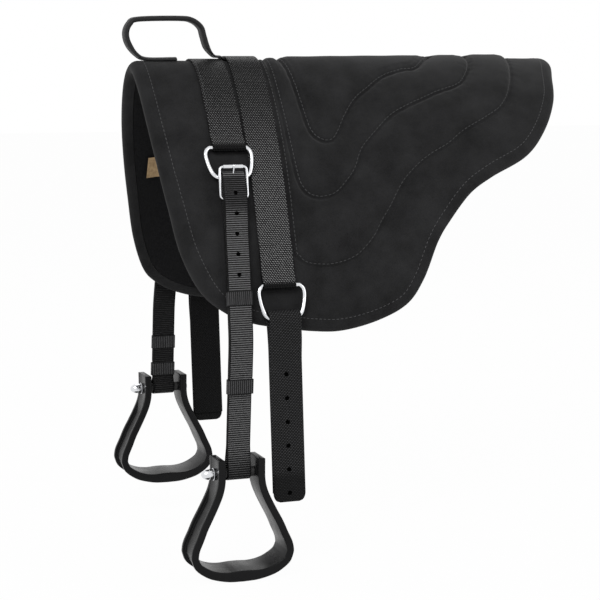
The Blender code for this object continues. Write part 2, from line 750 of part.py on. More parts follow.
def make_handle(finish, collection):
    """Handle in the upright plane of the ridge, its rear foot under the rear web."""
    reach = HANDLE_REAR_X - HANDLE_FRONT_X
    points = [(HANDLE_FRONT_X + a * reach, b * HANDLE_RISE) for a, b in HANDLE_SHARES]
    path = rounded_curve(points, 34)
    height = path[:, 1] / HANDLE_RISE
    fullness = smoothstep((height - HANDLE_FOOT_SHARE) / (2 * HANDLE_FOOT_SHARE))
    thickness = HANDLE_FOOT_THICKNESS + (HANDLE_THICKNESS - HANDLE_FOOT_THICKNESS) * fullness
    upper = offset_path(path, thickness / 2)
    lower = offset_path(path, -thickness / 2)
    rings = []
    for high, low, size in zip(upper, lower, thickness):
        soft = size / 2
        edge = HANDLE_WIDTH / 2
        middle = (high + low) / 2
        outline = [(-edge + soft, high), (edge - soft, high), (edge, middle),
                   (edge - soft, low), (-edge + soft, low), (-edge, middle)]
        rings.append([(p[0], y, PAD_THICKNESS + p[1]) for y, p in outline])
    return loft("grab_handle", rings, finish, collection)


def make_patch(finish, collection):
    """Plain sewn patch on the lining, inside the right flap's front edge."""
    xs = np.linspace(PATCH_X - PATCH_LENGTH / 2, PATCH_X + PATCH_LENGTH / 2, 4)
    arcs = np.linspace(PATCH_ARC - PATCH_HEIGHT / 2, PATCH_ARC + PATCH_HEIGHT / 2, 4)
    grid_x, grid_s = np.meshgrid(xs, arcs, indexing="ij")
    under = -PAD_THICKNESS - PATCH_DROP
    layers = [drape(grid_x.ravel(), grid_s.ravel(), under),
              drape(grid_x.ravel(), grid_s.ravel(), under - PATCH_THICKNESS)]
    count = len(arcs)
    size = grid_x.size
    cells = [(a * count + b, a * count + b + 1, (a + 1) * count + b + 1, (a + 1) * count + b)
             for a in range(len(xs) - 1) for b in range(count - 1)]
    faces = cells + [tuple(size + k for k in cell) for cell in cells]
    border = list(range(count)) + [a * count + count - 1 for a in range(1, len(xs))]
    border += [size - 1 - b for b in range(1, count)]
    border += [a * count for a in range(len(xs) - 2, 0, -1)]
    faces += [(p, q, size + q, size + p) for p, q in zip(border, border[1:] + border[:1])]
    return mesh_object("lining_patch", np.vstack(layers), faces, finish, collection)

# Dees: a straight bar in the web and a bow, as shares of the half width and the drop
DEE_BOW_SHARES = [
    (0.806, 0.0), (0.952, 0.094), (1.0, 0.247), (0.968, 0.449), (0.903, 0.652),
    (0.806, 0.82), (0.645, 0.926), (0.387, 0.98), (0.0, 1.0),
]
DEE_POINTS = 22


def height_of(drop):
    """World height of a place that hangs a given drop below the ridge."""
    return PAD_THICKNESS - drop


def make_dee(name, x, frame, side, finish, collection):
    """Cast dee: one round wire bent into a D, its bar held in the web."""
    half = [(a * DEE_HALF_WIDTH, b * DEE_DROP) for a, b in DEE_BOW_SHARES]
    bow = half + [(-a, b) for a, b in half[:-1]][::-1]
    points = []
    for across, drop in rounded_curve(bow, DEE_POINTS):
        place = local(frame, drop, 0)
        points.append((x + across, side * place[0], place[1]))
    return wire(name, points, DEE_WIRE, finish, collection, closed=True)


# Stirrup strap: one length of webbing, sewn round the buckle's hinge bar, down to the
# stirrup, back up, over the dee and out through the buckle to its free tail
LOOP_EYE_GAP = 0.0028
HINGE_EYE_GAP = 0.00035
SLEEVE_EYE_GAP = 0.0003
RUN_START = 0.086
LOOP_DROP_SHARE = 0.946
TONGUE_SLOT_WIDTH = 0.0046
TONGUE_SLOT_DROP = 0.051
TONGUE_SLOT_LENGTH = 0.012
TONGUE_SLOT_LIFT = 0.0063
TONGUE_SLOT_DEPTH = 0.0074
HINGE_SLOT_LENGTH = 0.011
EYE_RADIUS = DEE_WIRE / 2 + LOOP_EYE_GAP + STRAP_THICKNESS / 2
WRAP_RADIUS = BUCKLE_WIRE / 2 + HINGE_EYE_GAP + STRAP_THICKNESS / 2
SLEEVE_LOOP_RADIUS = SLEEVE_DIAMETER / 2 + SLEEVE_EYE_GAP + STRAP_THICKNESS / 2
INNER_LAYER = STRAP_STANDOFF + STRAP_THICKNESS / 2
HINGE_HEIGHT = INNER_LAYER + LAYER_PITCH + WRAP_RADIUS
TIP_SHARES = ((0.0, 0.3), (0.3, 0.62), (0.65, 0.87), (1.0, 1.0))


class Strap:
    """Places on one side's stirrup strap that its pieces share."""

    def __init__(self, side_name):
        left = side_name == "left"
        self.side = SIDES[side_name]
        self.x = LEFT_FRONT_DEE_X if left else RIGHT_FRONT_DEE_X
        self.lean = LEFT_STRAP_LEAN if left else RIGHT_STRAP_LEAN
        self.spread = LEFT_LOOP_SPREAD if left else RIGHT_LOOP_SPREAD
        self.bolt_up = height_of(LEFT_BOLT_DROP if left else RIGHT_BOLT_DROP)
        upper = LEFT_UPPER_KEEPER_DROP if left else RIGHT_UPPER_KEEPER_DROP
        lower = LEFT_LOWER_KEEPER_DROP if left else RIGHT_LOWER_KEEPER_DROP
        self.keepers = {"upper": height_of(upper), "lower": height_of(lower)}
        self.frame = local_frame(self.x, FRONT_BAR_ARC, FRONT_DEE_TILT_DEG)
        self.loop = local(self.frame, DEE_DROP * LOOP_DROP_SHARE, 0)
        self.hinge = self.layer(HINGE_BAR_DROP, 0) + self.normal(HINGE_BAR_DROP) * (
            HINGE_HEIGHT - INNER_LAYER)
        self.roller = local(self.frame, ROLLER_DROP, ROLLER_HEIGHT)
        self.run = self.make_run()
        self.bolt = np.array([self.run[-1][0] + LAYER_PITCH / 2, self.bolt_up])

    def x_at(self, up):
        """Middle of the strap at a height: it hangs a little forward of its dee."""
        return self.x - self.lean * (self.loop[1] - np.asarray(up))

    def place(self, point, across=0.0):
        """World point from a point of the strap's plane."""
        return (float(self.x_at(point[1])) + across, self.side * point[0], point[1])

    def layer(self, drop, number):
        """Middle of a layer of webbing at an arc below the dee's bar."""
        return section(self.x, FRONT_BAR_ARC + drop, INNER_LAYER + number * LAYER_PITCH)

    def normal(self, drop):
        """Outward direction of the pad at an arc below the dee's bar."""
        angle = float(slope_at(np.array(self.x), np.array(FRONT_BAR_ARC + drop)))
        return np.array([math.sin(angle), math.cos(angle)])

    def make_run(self):
        """Middle of the inner layer, from under the buckle to where the loop opens."""
        arcs = np.linspace(RUN_START, STRAP_LEAVES_ARC - FRONT_BAR_ARC, 4)
        points = [self.layer(arc, 0) for arc in arcs]
        slope = float(slope_at(np.array(self.x), np.array(STRAP_LEAVES_ARC)))
        return straight_then_plumb(points, slope, height_of(STRAP_BEND_DROP),
                                   self.bolt_up + self.spread)

    def on_run(self, up, number):
        """Middle of a layer at a height on the run, and the direction down it there."""
        path = offset_path(self.run, number * LAYER_PITCH)
        heights = path[::-1, 1]
        out = np.interp(up, heights, path[::-1, 0])
        ahead = np.interp(up - STRAP_THICKNESS, heights, path[::-1, 0])
        down = np.array([ahead - out, -STRAP_THICKNESS])
        return np.array([out, up]), down / np.linalg.norm(down)


def straight_then_plumb(points, slope, bend_up, end_up):
    """Go on straight down a slope to a height, bend until plumb, and end lower down."""
    down = np.array([math.cos(slope), -math.sin(slope)])
    start = points[-1] + down * (points[-1][1] - bend_up) / math.sin(slope)
    points = points + [start]
    steps = 3
    angles = slope + (np.pi / 2 - slope) * (np.arange(steps) + 0.5) / steps
    for angle in angles:
        step = np.array([math.cos(angle), -math.sin(angle)]) * STRAP_BEND_LENGTH / steps
        points.append(points[-1] + step)
    points.append(np.array([points[-1][0], end_up]))
    return np.array(points)


def loop_points(centre, radius, spread, gap, steps):
    """Round the underside of a bolt, from the outer layer to the inner one."""
    reach = math.hypot(spread, gap / 2)
    start = math.degrees(math.atan2(spread, gap / 2) - math.acos(radius / reach))
    return arc_points(centre, radius, start, -180 - start, steps)


def make_strap(name, strap, finish, collection, cutters):
    """The whole strap as one unbroken ribbon, then its slots and holes."""
    out_deg = 90 - math.degrees(math.atan2(-strap.frame[1][1], strap.frame[1][0]))
    hinge_slope = float(slope_at(np.array(strap.x), np.array(FRONT_BAR_ARC + HINGE_BAR_DROP)))
    hinge_out = 90 - math.degrees(hinge_slope)
    path = [strap.layer(SEWN_END, 2), strap.layer(SEWN_START, 2)]
    path += arc_points(strap.hinge, WRAP_RADIUS, hinge_out, hinge_out + 180, 6)
    path += list(offset_path(strap.run, LAYER_PITCH))
    path += loop_points(strap.bolt, SLEEVE_LOOP_RADIUS, strap.spread, LAYER_PITCH, 9)
    path += list(strap.run[::-1])
    path += arc_points(strap.loop, EYE_RADIUS, out_deg + 180, out_deg, 6)
    over = strap.hinge + strap.normal(HINGE_BAR_DROP) * (WRAP_RADIUS + LAYER_PITCH)
    path += [over, strap.layer(SEWN_END, 3), strap.layer(TAIL_SETTLES, 2)]
    tip_up = strap.keepers["lower"] - KEEPER_HEIGHT / 2
    tail = [p for p in offset_path(strap.run, 2 * LAYER_PITCH)
            if strap.layer(TAIL_SETTLES, 2)[1] - STRAP_WIDTH > p[1] > tip_up + TIP_LENGTH]
    path += tail
    widths = [STRAP_WIDTH] * len(path)
    for share, width_share in TIP_SHARES[::-1]:
        path.append(strap.on_run(tip_up + TIP_LENGTH * share, 2)[0])
        widths.append(STRAP_WIDTH * width_share)
    path = np.array(path)
    made = ribbon(name, path, np.array(widths), STRAP_THICKNESS, strap.x_at(path[:, 1]),
                  strap.side, finish, collection)
    down, out = strap.frame[1], strap.frame[2]
    slot = local(strap.frame, TONGUE_SLOT_DROP, TONGUE_SLOT_LIFT)
    cut(made, box_cutter(name + "_tongue_slot", (float(strap.x_at(slot[1])), *slot), down, out,
                         strap.side, TONGUE_SLOT_WIDTH, (TONGUE_SLOT_LENGTH, TONGUE_SLOT_DEPTH),
                         cutters))
    out = strap.normal(HINGE_BAR_DROP)
    down = np.array([out[1], -out[0]])
    depth = 2 * (WRAP_RADIUS + STRAP_THICKNESS / 2 + LAYER_GAP / 2)
    cut(made, box_cutter(name + "_hinge_slot", (float(strap.x_at(strap.hinge[1])), *strap.hinge),
                         down, out, strap.side, TONGUE_SLOT_WIDTH, (HINGE_SLOT_LENGTH, depth),
                         cutters))
    for k in range(STRAP_HOLES):
        place, down = strap.on_run(tip_up + TIP_LENGTH + HOLE_PITCH * (k + 1), 2)
        direction = (0, strap.side * -down[1], down[0])
        hole = round_cutter(f"{name}_hole_{k}", strap.place(place), direction, STRAP_HOLE,
                            STRAP_THICKNESS + LAYER_GAP, cutters)
        cut(made, hole)
    return made


FRAME_CORNER_SHARE = 0.5
FRAME_SIDE_GAP = 0.0007


def make_buckle_frame(name, strap, finish, collection):
    """Wire frame from the roller's bar to the hinge bar."""
    half = STRAP_WIDTH / 2 + FRAME_SIDE_GAP + BUCKLE_WIRE / 2
    corner = BUCKLE_WIRE * FRAME_CORNER_SHARE
    step = strap.hinge - strap.roller
    step = step / np.linalg.norm(step)
    right = [(half - corner, strap.roller), (half - corner / 4, strap.roller + step * corner / 4),
             (half, strap.roller + step * corner), (half, strap.hinge - step * corner),
             (half - corner / 4, strap.hinge - step * corner / 4), (half - corner, strap.hinge)]
    points = [strap.place(p, across) for across, p in right]
    points += [strap.place(p, -across) for across, p in right[::-1]]
    return wire(name, points, BUCKLE_WIRE, finish, collection, closed=True)


TONGUE_PATH_SHARES = (
    (0.886, 0.11), (0.80, 0.22), (0.65, 1.13), (0.557, 1.356), (0.443, 1.467), (0.40, 1.40),
)


def make_tongue(name, strap, finish, collection):
    """Buckle tongue: an eye round the hinge bar, up through the slot, on the roller."""
    eye = BUCKLE_WIRE / 2 + CLEARANCE + TONGUE_WIRE / 2
    hinge_slope = float(slope_at(np.array(strap.x), np.array(FRONT_BAR_ARC + HINGE_BAR_DROP)))
    out_deg = 90 - math.degrees(hinge_slope)
    points = arc_points(strap.hinge, eye, out_deg + 135, out_deg + 360, 8)
    for drop_share, lift_share in TONGUE_PATH_SHARES:
        points.append(local(strap.frame, drop_share * HINGE_BAR_DROP, lift_share * ROLLER_HEIGHT))
    return wire(name, [strap.place(p) for p in points], TONGUE_WIRE, finish, collection)


def make_roller(name, strap, finish, collection):
    """Tube that turns on the buckle's outer bar."""
    reach = STRAP_WIDTH / 2 + FRAME_SIDE_GAP - CLEARANCE
    profile = [(-reach, ROLLER_BORE / 2), (reach, ROLLER_BORE / 2),
               (reach, ROLLER_DIAMETER / 2), (-reach, ROLLER_DIAMETER / 2)]
    return turned(name, profile, strap.place(strap.roller), finish, collection, sides=12)


def make_keeper(name, strap, which, finish, collection):
    """Band round the three layers of strap, free to slide on them."""
    top = strap.keepers[which]
    middle, down = strap.on_run(top - KEEPER_HEIGHT / 2, 1)
    out = np.array([-down[1], down[0]])
    half_x = STRAP_WIDTH / 2 + KEEPER_GAP
    half_out = LAYER_PITCH + STRAP_THICKNESS / 2 + KEEPER_GAP
    corner = KEEPER_WALL
    rings = []
    outline = []
    for sx, so, turn in ((1, 1, 0), (-1, 1, 90), (-1, -1, 180), (1, -1, 270)):
        for angle in (turn, turn + 45, turn + 90):
            outline.append((sx, so, math.radians(angle)))
    for sx, so, angle in outline:
        ring = []
        for reach, end in ((corner, -1), (corner, 1), (0, 1), (0, -1)):
            spot = middle + down * end * KEEPER_HEIGHT / 2
            spot = spot + out * (so * (half_out - corner / 2) + (corner / 2 + reach) * math.sin(angle))
            across = sx * (half_x - corner / 2) + (corner / 2 + reach) * math.cos(angle)
            ring.append(strap.place(spot, across))
        rings.append(ring)
    return loft(name, rings, finish, collection, closed=True)


# Stirrup: outer outline as shares of its half width and its drop below the bolt
STIRRUP_SHARES = [
    (0.455, -0.149), (0.455, 0.036), (0.493, 0.141), (0.572, 0.238), (0.681, 0.347),
    (0.801, 0.462), (0.881, 0.556), (0.971, 0.657), (1.0, 0.729), (0.991, 0.773),
    (0.922, 0.852), (0.762, 0.917), (0.58, 0.96), (0.29, 0.993), (0.0, 1.0),
]
STIRRUP_STEPS = 17
EAR_SOLID_SHARE = 0.12
RECESS_RAMP_SHARE = 0.16


def stirrup_centre(strap):
    """Middle of the bolt that carries the stirrup."""
    return strap.place(strap.bolt)


def make_stirrup(name, strap, finish, collection, cutters):
    """Cast stirrup: a channel section that widens from the ears to the tread."""
    half = [(a * STIRRUP_HALF_WIDTH, b * STIRRUP_DROP) for a, b in STIRRUP_SHARES]
    right = rounded_curve(half, STIRRUP_STEPS)
    outline = np.vstack([right, (right[:-1] * [-1, 1])[::-1]])
    outer_wall = STIRRUP_HALF_WIDTH * STIRRUP_SHARES[0][0] - STIRRUP_EAR_GAP / 2
    share = np.clip(outline[:, 1] / STIRRUP_DROP, 0, 1)
    tread = smoothstep((share - 0.75) * 4)
    wall = outer_wall + (STIRRUP_WALL - outer_wall) * smoothstep(share * 4)
    wall = wall + (STIRRUP_TREAD_THICKNESS - wall) * tread
    depth = STIRRUP_EAR_DEPTH + (STIRRUP_TREAD_DEPTH - STIRRUP_EAR_DEPTH) * smoothstep(share)
    recess = smoothstep((share - EAR_SOLID_SHARE) / RECESS_RAMP_SHARE)
    recess = CLEARANCE + (STIRRUP_RECESS - CLEARANCE) * recess
    inner = offset_path(outline, wall)
    floor = offset_path(outline, recess)
    if np.abs(inner).max() > np.abs(outline).max():
        inner = offset_path(outline, -wall)
        floor = offset_path(outline, -recess)
    centre = stirrup_centre(strap)
    rings = []
    for edge, low, inside, deep in zip(outline, floor, inner, depth):
        lip = deep / 2 - STIRRUP_FLANGE
        ring = [(edge, -deep / 2), (edge, -lip), (low, -lip), (low, lip), (edge, lip),
                (edge, deep / 2), (inside, deep / 2), (inside, -deep / 2)]
        rings.append([(centre[0] + p[0], centre[1] + y, centre[2] - p[1]) for p, y in ring])
    made = loft(name, rings, finish, collection)
    hole = round_cutter(name + "_bolt_hole", centre, (1, 0, 0), BOLT_DIAMETER + 2 * CLEARANCE,
                        3 * STIRRUP_HALF_WIDTH, cutters, sides=12)
    cut(made, hole)
    return made


def ear_face():
    """Distance from the middle of the stirrup to the outside of an ear."""
    return STIRRUP_HALF_WIDTH * STIRRUP_SHARES[0][0]


def make_bolt(name, strap, finish, collection):
    """Bolt through both ears, its head at the rear."""
    face = ear_face() + CLEARANCE
    shank = BOLT_DIAMETER / 2
    end = -face - BOLT_END
    head = BOLT_HEAD / 2
    profile = [(end, shank), (face, shank), (face, head),
               (face + BOLT_HEAD_LENGTH * 2 / 3, head), (face + BOLT_HEAD_LENGTH, head * 2 / 3)]
    return turned(name, profile, stirrup_centre(strap), finish, collection, sides=16)


NUT_DOME_SHARES = ((0.5, 1.0), (0.68, 0.94), (0.85, 0.74), (0.96, 0.42), (1.0, 0.15))


def make_nut(name, strap, finish, collection):
    """Domed nut on the bolt's front end."""
    face = ear_face() + CLEARANCE
    bore = BOLT_DIAMETER / 2 + CLEARANCE
    profile = [(-face - BOLT_END - CLEARANCE, bore), (-face, bore), (-face, NUT_ACROSS / 2)]
    profile += [(-face - a * NUT_LENGTH, b * NUT_ACROSS / 2) for a, b in NUT_DOME_SHARES]
    return turned(name, profile, stirrup_centre(strap), finish, collection, sides=16)


def make_sleeve(name, strap, finish, collection):
    """Sleeve on the bolt that the strap's loop bears on."""
    reach = STIRRUP_EAR_GAP / 2 - CLEARANCE
    bore = BOLT_DIAMETER / 2 + CLEARANCE
    outer = SLEEVE_DIAMETER / 2
    profile = [(-reach, bore), (reach, bore), (reach, outer), (-reach, outer)]
    return turned(name, profile, stirrup_centre(strap), finish, collection, sides=16)


# Latigo: a long doubled strap that hangs in the rear dee
LATIGO_EYE_GAP = 0.0037
LATIGO_EYE_RADIUS = DEE_WIRE / 2 + LATIGO_EYE_GAP + LATIGO_THICKNESS / 2
LATIGO_PITCH = LATIGO_THICKNESS + LAYER_GAP
LATIGO_JOINS_DROP = 0.060
LATIGO_LOOP_SHARE = 0.93
LATIGO_TIP_SHARES = ((0.0, 0.62), (0.12, 0.8), (0.35, 0.94), (1.0, 1.0))
LATIGO_TIP = 0.012


def latigo_frame():
    """Local frame of the rear dees."""
    return local_frame(REAR_DEE_X, REAR_BAR_ARC, REAR_DEE_TILT_DEG)


def make_latigo(name, side_name, finish, collection, cutters):
    """Both layers as one ribbon over the dee's bow, with a row of holes."""
    side = SIDES[side_name]
    bottom = height_of(LEFT_LATIGO_DROP if side_name == "left" else RIGHT_LATIGO_DROP)
    frame = latigo_frame()
    loop = local(frame, DEE_DROP * LATIGO_LOOP_SHARE, 0)
    slope = math.atan2(-frame[1][1], frame[1][0])
    out_deg = 90 - math.degrees(slope)
    start = loop - frame[2] * LATIGO_EYE_RADIUS
    back = straight_then_plumb([start], slope, height_of(LATIGO_BEND_DROP), bottom + LATIGO_STEP)
    front = offset_path(back, LATIGO_PITCH)
    hangs = front[-1][0]
    path = [back[-1]]
    path += list(back[1:-1][::-1])
    path += arc_points(loop, LATIGO_EYE_RADIUS, out_deg + 180, out_deg, 8)
    path.append(np.array([hangs, loop[1] - LATIGO_JOINS_DROP]))
    widths = [LATIGO_WIDTH] * len(path)
    for share, width_share in LATIGO_TIP_SHARES[::-1]:
        path.append(np.array([hangs, bottom + LATIGO_TIP * share]))
        widths.append(LATIGO_WIDTH * width_share)
    path = np.array(path)
    lean_x = REAR_DEE_X + LATIGO_LEAN * (loop[1] - path[:, 1])
    made = ribbon(name, path, np.array(widths), LATIGO_THICKNESS, lean_x, side, finish, collection)
    for k in range(LATIGO_HOLES):
        up = bottom + LATIGO_HOLE_MARGIN + LATIGO_HOLE_PITCH * k
        x = REAR_DEE_X + LATIGO_LEAN * (loop[1] - up)
        out = hangs - LATIGO_PITCH / 2
        hole = round_cutter(f"{name}_hole_{k}", (x, side * out, up), (0, 1, 0), LATIGO_HOLE,
                            3 * LATIGO_PITCH, cutters)
        cut(made, hole)
    return made


def build():
    """Make every piece, with its pivot, in one collection."""
    clear_scene()
    parts = new_collection("bareback_pad")
    cutters = new_collection("cutters")
    suede = material("black_suede", (0.020, 0.020, 0.022), 0.92)
    foam = material("foam", (0.45, 0.45, 0.42), 0.95)
    felt = material("charcoal_felt", (0.07, 0.07, 0.075), 0.97)
    webbing = material("black_webbing", (0.025, 0.025, 0.027), 0.75)
    latigo = material("black_latigo", (0.022, 0.022, 0.024), 0.7)
    loops = material("black_keeper", (0.018, 0.018, 0.019), 0.5)
    patch = material("tan_patch", (0.55, 0.40, 0.24), 0.8)
    chrome = material("chrome", (0.78, 0.78, 0.80), 0.15, 1.0)
    cast = material("black_cast", (0.03, 0.03, 0.032), 0.45)
    rubber = material("black_sleeve", (0.02, 0.02, 0.02), 0.6)

    shape = pattern()
    make_cover(shape, suede, parts)
    make_core(shape, foam, parts)
    make_lining(shape, felt, parts)
    make_web("front_rigging_web", FRONT_WEB_X, FRONT_BAR_ARC, 0, webbing, parts)
    make_web("rear_rigging_web", REAR_WEB_X, REAR_BAR_ARC, HANDLE_FOOT_LIFT, webbing, parts)
    make_handle(webbing, parts)
    make_patch(patch, parts)

    for side_name, side in SIDES.items():
        strap = Strap(side_name)
        dee_pivot = pivot_at(side_name + "_dee_pivot", (strap.x, side * strap.frame[0][0],
                                                        strap.frame[0][1]), parts)
        loop_pivot = pivot_at(side_name + "_loop_pivot", strap.place(strap.loop), parts, dee_pivot)
        roller_pivot = pivot_at(side_name + "_roller_pivot", strap.place(strap.roller), parts,
                                loop_pivot)
        bolt_pivot = pivot_at(side_name + "_bolt_pivot", stirrup_centre(strap), parts, loop_pivot)
        frame = latigo_frame()
        loop = local(frame, DEE_DROP * LATIGO_LOOP_SHARE, 0)
        rear_pivot = pivot_at(side_name + "_rear_pivot",
                              (REAR_DEE_X, side * frame[0][0], frame[0][1]), parts)
        latigo_pivot = pivot_at(side_name + "_latigo_pivot",
                                (REAR_DEE_X, side * loop[0], loop[1]), parts, rear_pivot)
        prefix = side_name + "_"
        hang(make_dee(prefix + "front_dee", strap.x, strap.frame, side, chrome, parts), dee_pivot)
        hang(make_strap(prefix + "stirrup_strap", strap, webbing, parts, cutters), loop_pivot)
        hang(make_buckle_frame(prefix + "buckle_frame", strap, chrome, parts), loop_pivot)
        hang(make_tongue(prefix + "buckle_tongue", strap, chrome, parts), loop_pivot)
        hang(make_roller(prefix + "buckle_roller", strap, chrome, parts), roller_pivot)
        for which in ("upper", "lower"):
            hang(make_keeper(prefix + which + "_keeper", strap, which, loops, parts), loop_pivot)
        hang(make_stirrup(prefix + "stirrup", strap, cast, parts, cutters), bolt_pivot)
        hang(make_bolt(prefix + "stirrup_bolt", strap, chrome, parts), bolt_pivot)
        hang(make_nut(prefix + "stirrup_bolt_nut", strap, chrome, parts), bolt_pivot)
        hang(make_sleeve(prefix + "bolt_sleeve", strap, rubber, parts), bolt_pivot)
        hang(make_dee(prefix + "rear_dee", REAR_DEE_X, frame, side, chrome, parts), rear_pivot)
        hang(make_latigo(prefix + "latigo", side_name, latigo, parts, cutters), latigo_pivot)


build()
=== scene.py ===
# %% [markdown]
# # A bareback pad, dressed piece by piece
# The pad is a soft saddle: black suede over foam, two webs that carry the load, a grab
# handle, and on each side a buckled strap with its stirrup and a long hanging latigo.
# The frame gives every piece's place and motion. This file makes only the looks.
# %% Load the frame
import math

import bmesh
import bpy
import numpy as np
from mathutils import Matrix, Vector


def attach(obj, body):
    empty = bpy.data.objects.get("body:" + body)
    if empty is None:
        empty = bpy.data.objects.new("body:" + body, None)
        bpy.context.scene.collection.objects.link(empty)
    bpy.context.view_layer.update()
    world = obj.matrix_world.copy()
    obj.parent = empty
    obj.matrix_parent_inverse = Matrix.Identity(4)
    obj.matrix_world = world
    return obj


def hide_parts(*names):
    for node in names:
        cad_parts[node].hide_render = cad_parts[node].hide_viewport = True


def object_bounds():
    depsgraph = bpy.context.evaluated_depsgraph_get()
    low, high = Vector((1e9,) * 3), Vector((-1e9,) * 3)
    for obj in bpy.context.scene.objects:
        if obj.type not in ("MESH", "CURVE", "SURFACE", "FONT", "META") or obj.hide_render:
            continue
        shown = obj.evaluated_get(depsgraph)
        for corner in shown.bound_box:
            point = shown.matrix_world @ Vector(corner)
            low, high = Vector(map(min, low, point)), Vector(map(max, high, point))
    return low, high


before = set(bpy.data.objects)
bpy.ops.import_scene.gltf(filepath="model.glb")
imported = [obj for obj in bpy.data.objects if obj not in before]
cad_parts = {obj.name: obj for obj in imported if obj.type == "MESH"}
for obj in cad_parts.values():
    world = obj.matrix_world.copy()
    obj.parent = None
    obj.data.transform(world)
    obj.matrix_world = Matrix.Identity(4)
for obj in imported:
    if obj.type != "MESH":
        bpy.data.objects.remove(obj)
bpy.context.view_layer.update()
PAD_BODY = "root"
SIDES = {"left": -1, "right": 1}

# %% [markdown]
# The pad is cut flat and then lies on a back. So each point is first a place on the flat
# pattern (x along the pad, s down the flap, h off the face), and one function drapes it.
# A slope that grows with the arc is an easy way to draw a back: integrating its cosine and
# sine gives the section.
# %% Sizes of the pad, in metres
PAD_LENGTH, FLAP_ARC, PAD_THICKNESS = 0.616, 0.410, 0.020
LINING_THICKNESS, HEM_WIDTH = 0.004, 0.014
SEAT_RISE, PANEL_CROWN, CHANNEL_DEPTH = 0.0045, 0.0015, 0.0035
RIM_RADIUS = PAD_THICKNESS / 2
HALF_LENGTH = PAD_LENGTH / 2
# Rows are front, middle and rear; columns are shoulder slope, crown arc, turn and rise
SECTIONS = np.array([
    [52.0, 0.030, 51.4, 0.0],
    [51.0, 0.031, 33.6, 0.0],
    [20.0, 0.060, 74.1, 0.0035],
])
FRONT_BLEND_SHARE, REAR_BLEND_SHARE, STEEPEST_DEG = 0.763, -0.422, 88.0
ARC_STEPS = 48


# %% Drape the flat pattern
def smoothstep(value):
    """Three t squared less two t cubed: eases from 0 to 1."""
    value = np.clip(value, 0, 1)
    return value * value * (3 - 2 * value)


def section_row(x):
    """The four section values at x: the middle row, eased to the front and rear rows."""
    share = np.asarray(x, dtype=float)[..., None] / HALF_LENGTH
    to_front = smoothstep((-share - FRONT_BLEND_SHARE) / (1 - FRONT_BLEND_SHARE))
    to_rear = smoothstep((share - REAR_BLEND_SHARE) / (1 - REAR_BLEND_SHARE))
    front, middle, rear = SECTIONS
    return middle + (front - middle) * to_front + (rear - middle) * to_rear


def slope_at(x, arc):
    """Slope = shoulder (1 - e^(-arc / crown)) + turn arc / flap arc, in radians."""
    shoulder, crown, turn, _ = np.moveaxis(section_row(x), -1, 0)
    slope = shoulder * (1 - np.exp(-arc / crown)) + turn * arc / FLAP_ARC
    return np.radians(np.minimum(slope, STEEPEST_DEG))


def off_pad_deg(slope):
    """Angle of the direction straight off the pad, in degrees, where it has a slope."""
    return 90 - math.degrees(slope)


def drape(x, s, h):
    """Out = integral of cos slope + h sin slope; down = integral of sin slope - h cos."""
    x, s, h = np.broadcast_arrays(*(np.asarray(v, dtype=float) for v in (x, s, h)))
    arc = np.abs(s)
    cos_sum = np.zeros_like(arc)
    sin_sum = np.zeros_like(arc)
    for part in (np.arange(ARC_STEPS) + 0.5) / ARC_STEPS:
        slope = slope_at(x, arc * part)
        cos_sum += np.cos(slope) / ARC_STEPS
        sin_sum += np.sin(slope) / ARC_STEPS
    slope = slope_at(x, arc)
    rise = section_row(x)[..., 3] - section_row(0.0)[3]
    out = arc * cos_sum + h * np.sin(slope)
    up = PAD_THICKNESS + rise - arc * sin_sum + h * np.cos(slope)
    return np.stack([x, np.sign(s) * out, up], -1)


def section(x, s, h):
    """The place in the upright plane of the section at x: outward and up."""
    return drape(x, s, h)[..., 1:]


# %% [markdown]
# Edges and seams are smooth curves through a few chosen points. A Catmull-Rom curve passes
# through all of its points, so the chosen points stay on the seam.
# %% Smooth curves
SPAN_POINTS, LOOP_THINNING = 16, 4


def unit(vectors):
    """Each vector divided by its own length."""
    return vectors / np.linalg.norm(vectors, axis=-1, keepdims=True)


def left_of(steps):
    """Directions turned a quarter turn to the left in their plane."""
    return np.stack([-steps[..., 1], steps[..., 0]], -1)


def gone(points):
    """Distance gone along a path at each of its points."""
    return np.concatenate([[0], np.cumsum(np.linalg.norm(np.diff(points, axis=0), axis=1))])


def shut(loop):
    """A loop with its first point again at its end."""
    return np.vstack([loop, loop[:1]])


def smooth(points, steps):
    """Catmull-Rom: each span is a cubic whose end slopes are half of the neighbours' chord."""
    points = np.array(points, dtype=float)
    padded = np.vstack([2 * points[0] - points[1], points, 2 * points[-1] - points[-2]])
    t = np.linspace(0, 1, SPAN_POINTS, endpoint=False)[None, :, None]
    p0, p1, p2, p3 = (padded[k:len(padded) - 3 + k][:, None] for k in range(4))
    spans = p1 + t * (p2 - p0) / 2 + t ** 2 * (2 * p0 - 5 * p1 + 4 * p2 - p3) / 2
    spans = spans + t ** 3 * (3 * p1 - p0 - 3 * p2 + p3) / 2
    return even(np.vstack([spans.reshape(-1, points.shape[1]), points[-1:]]), steps)


def even(points, steps):
    """Points at equal distances along a path: its length is shared into equal steps."""
    along = gone(points)
    wanted = np.linspace(0, along[-1], steps + 1)
    return np.stack([np.interp(wanted, along, line) for line in points.T], 1)


def even_loop(loop, steps):
    """The same for a closed loop, without its first point again."""
    return even(shut(loop), steps)[:-1]


def sideways(points, distance):
    """Each point moved along its left normal, longer at bends so the sides stay parallel."""
    normals = left_of(unit(np.diff(points, axis=0)))
    before = np.vstack([normals[:1], normals])
    middle = before + np.vstack([normals, normals[-1:]])
    middle /= (middle * before).sum(1)[:, None]
    return points + middle * distance


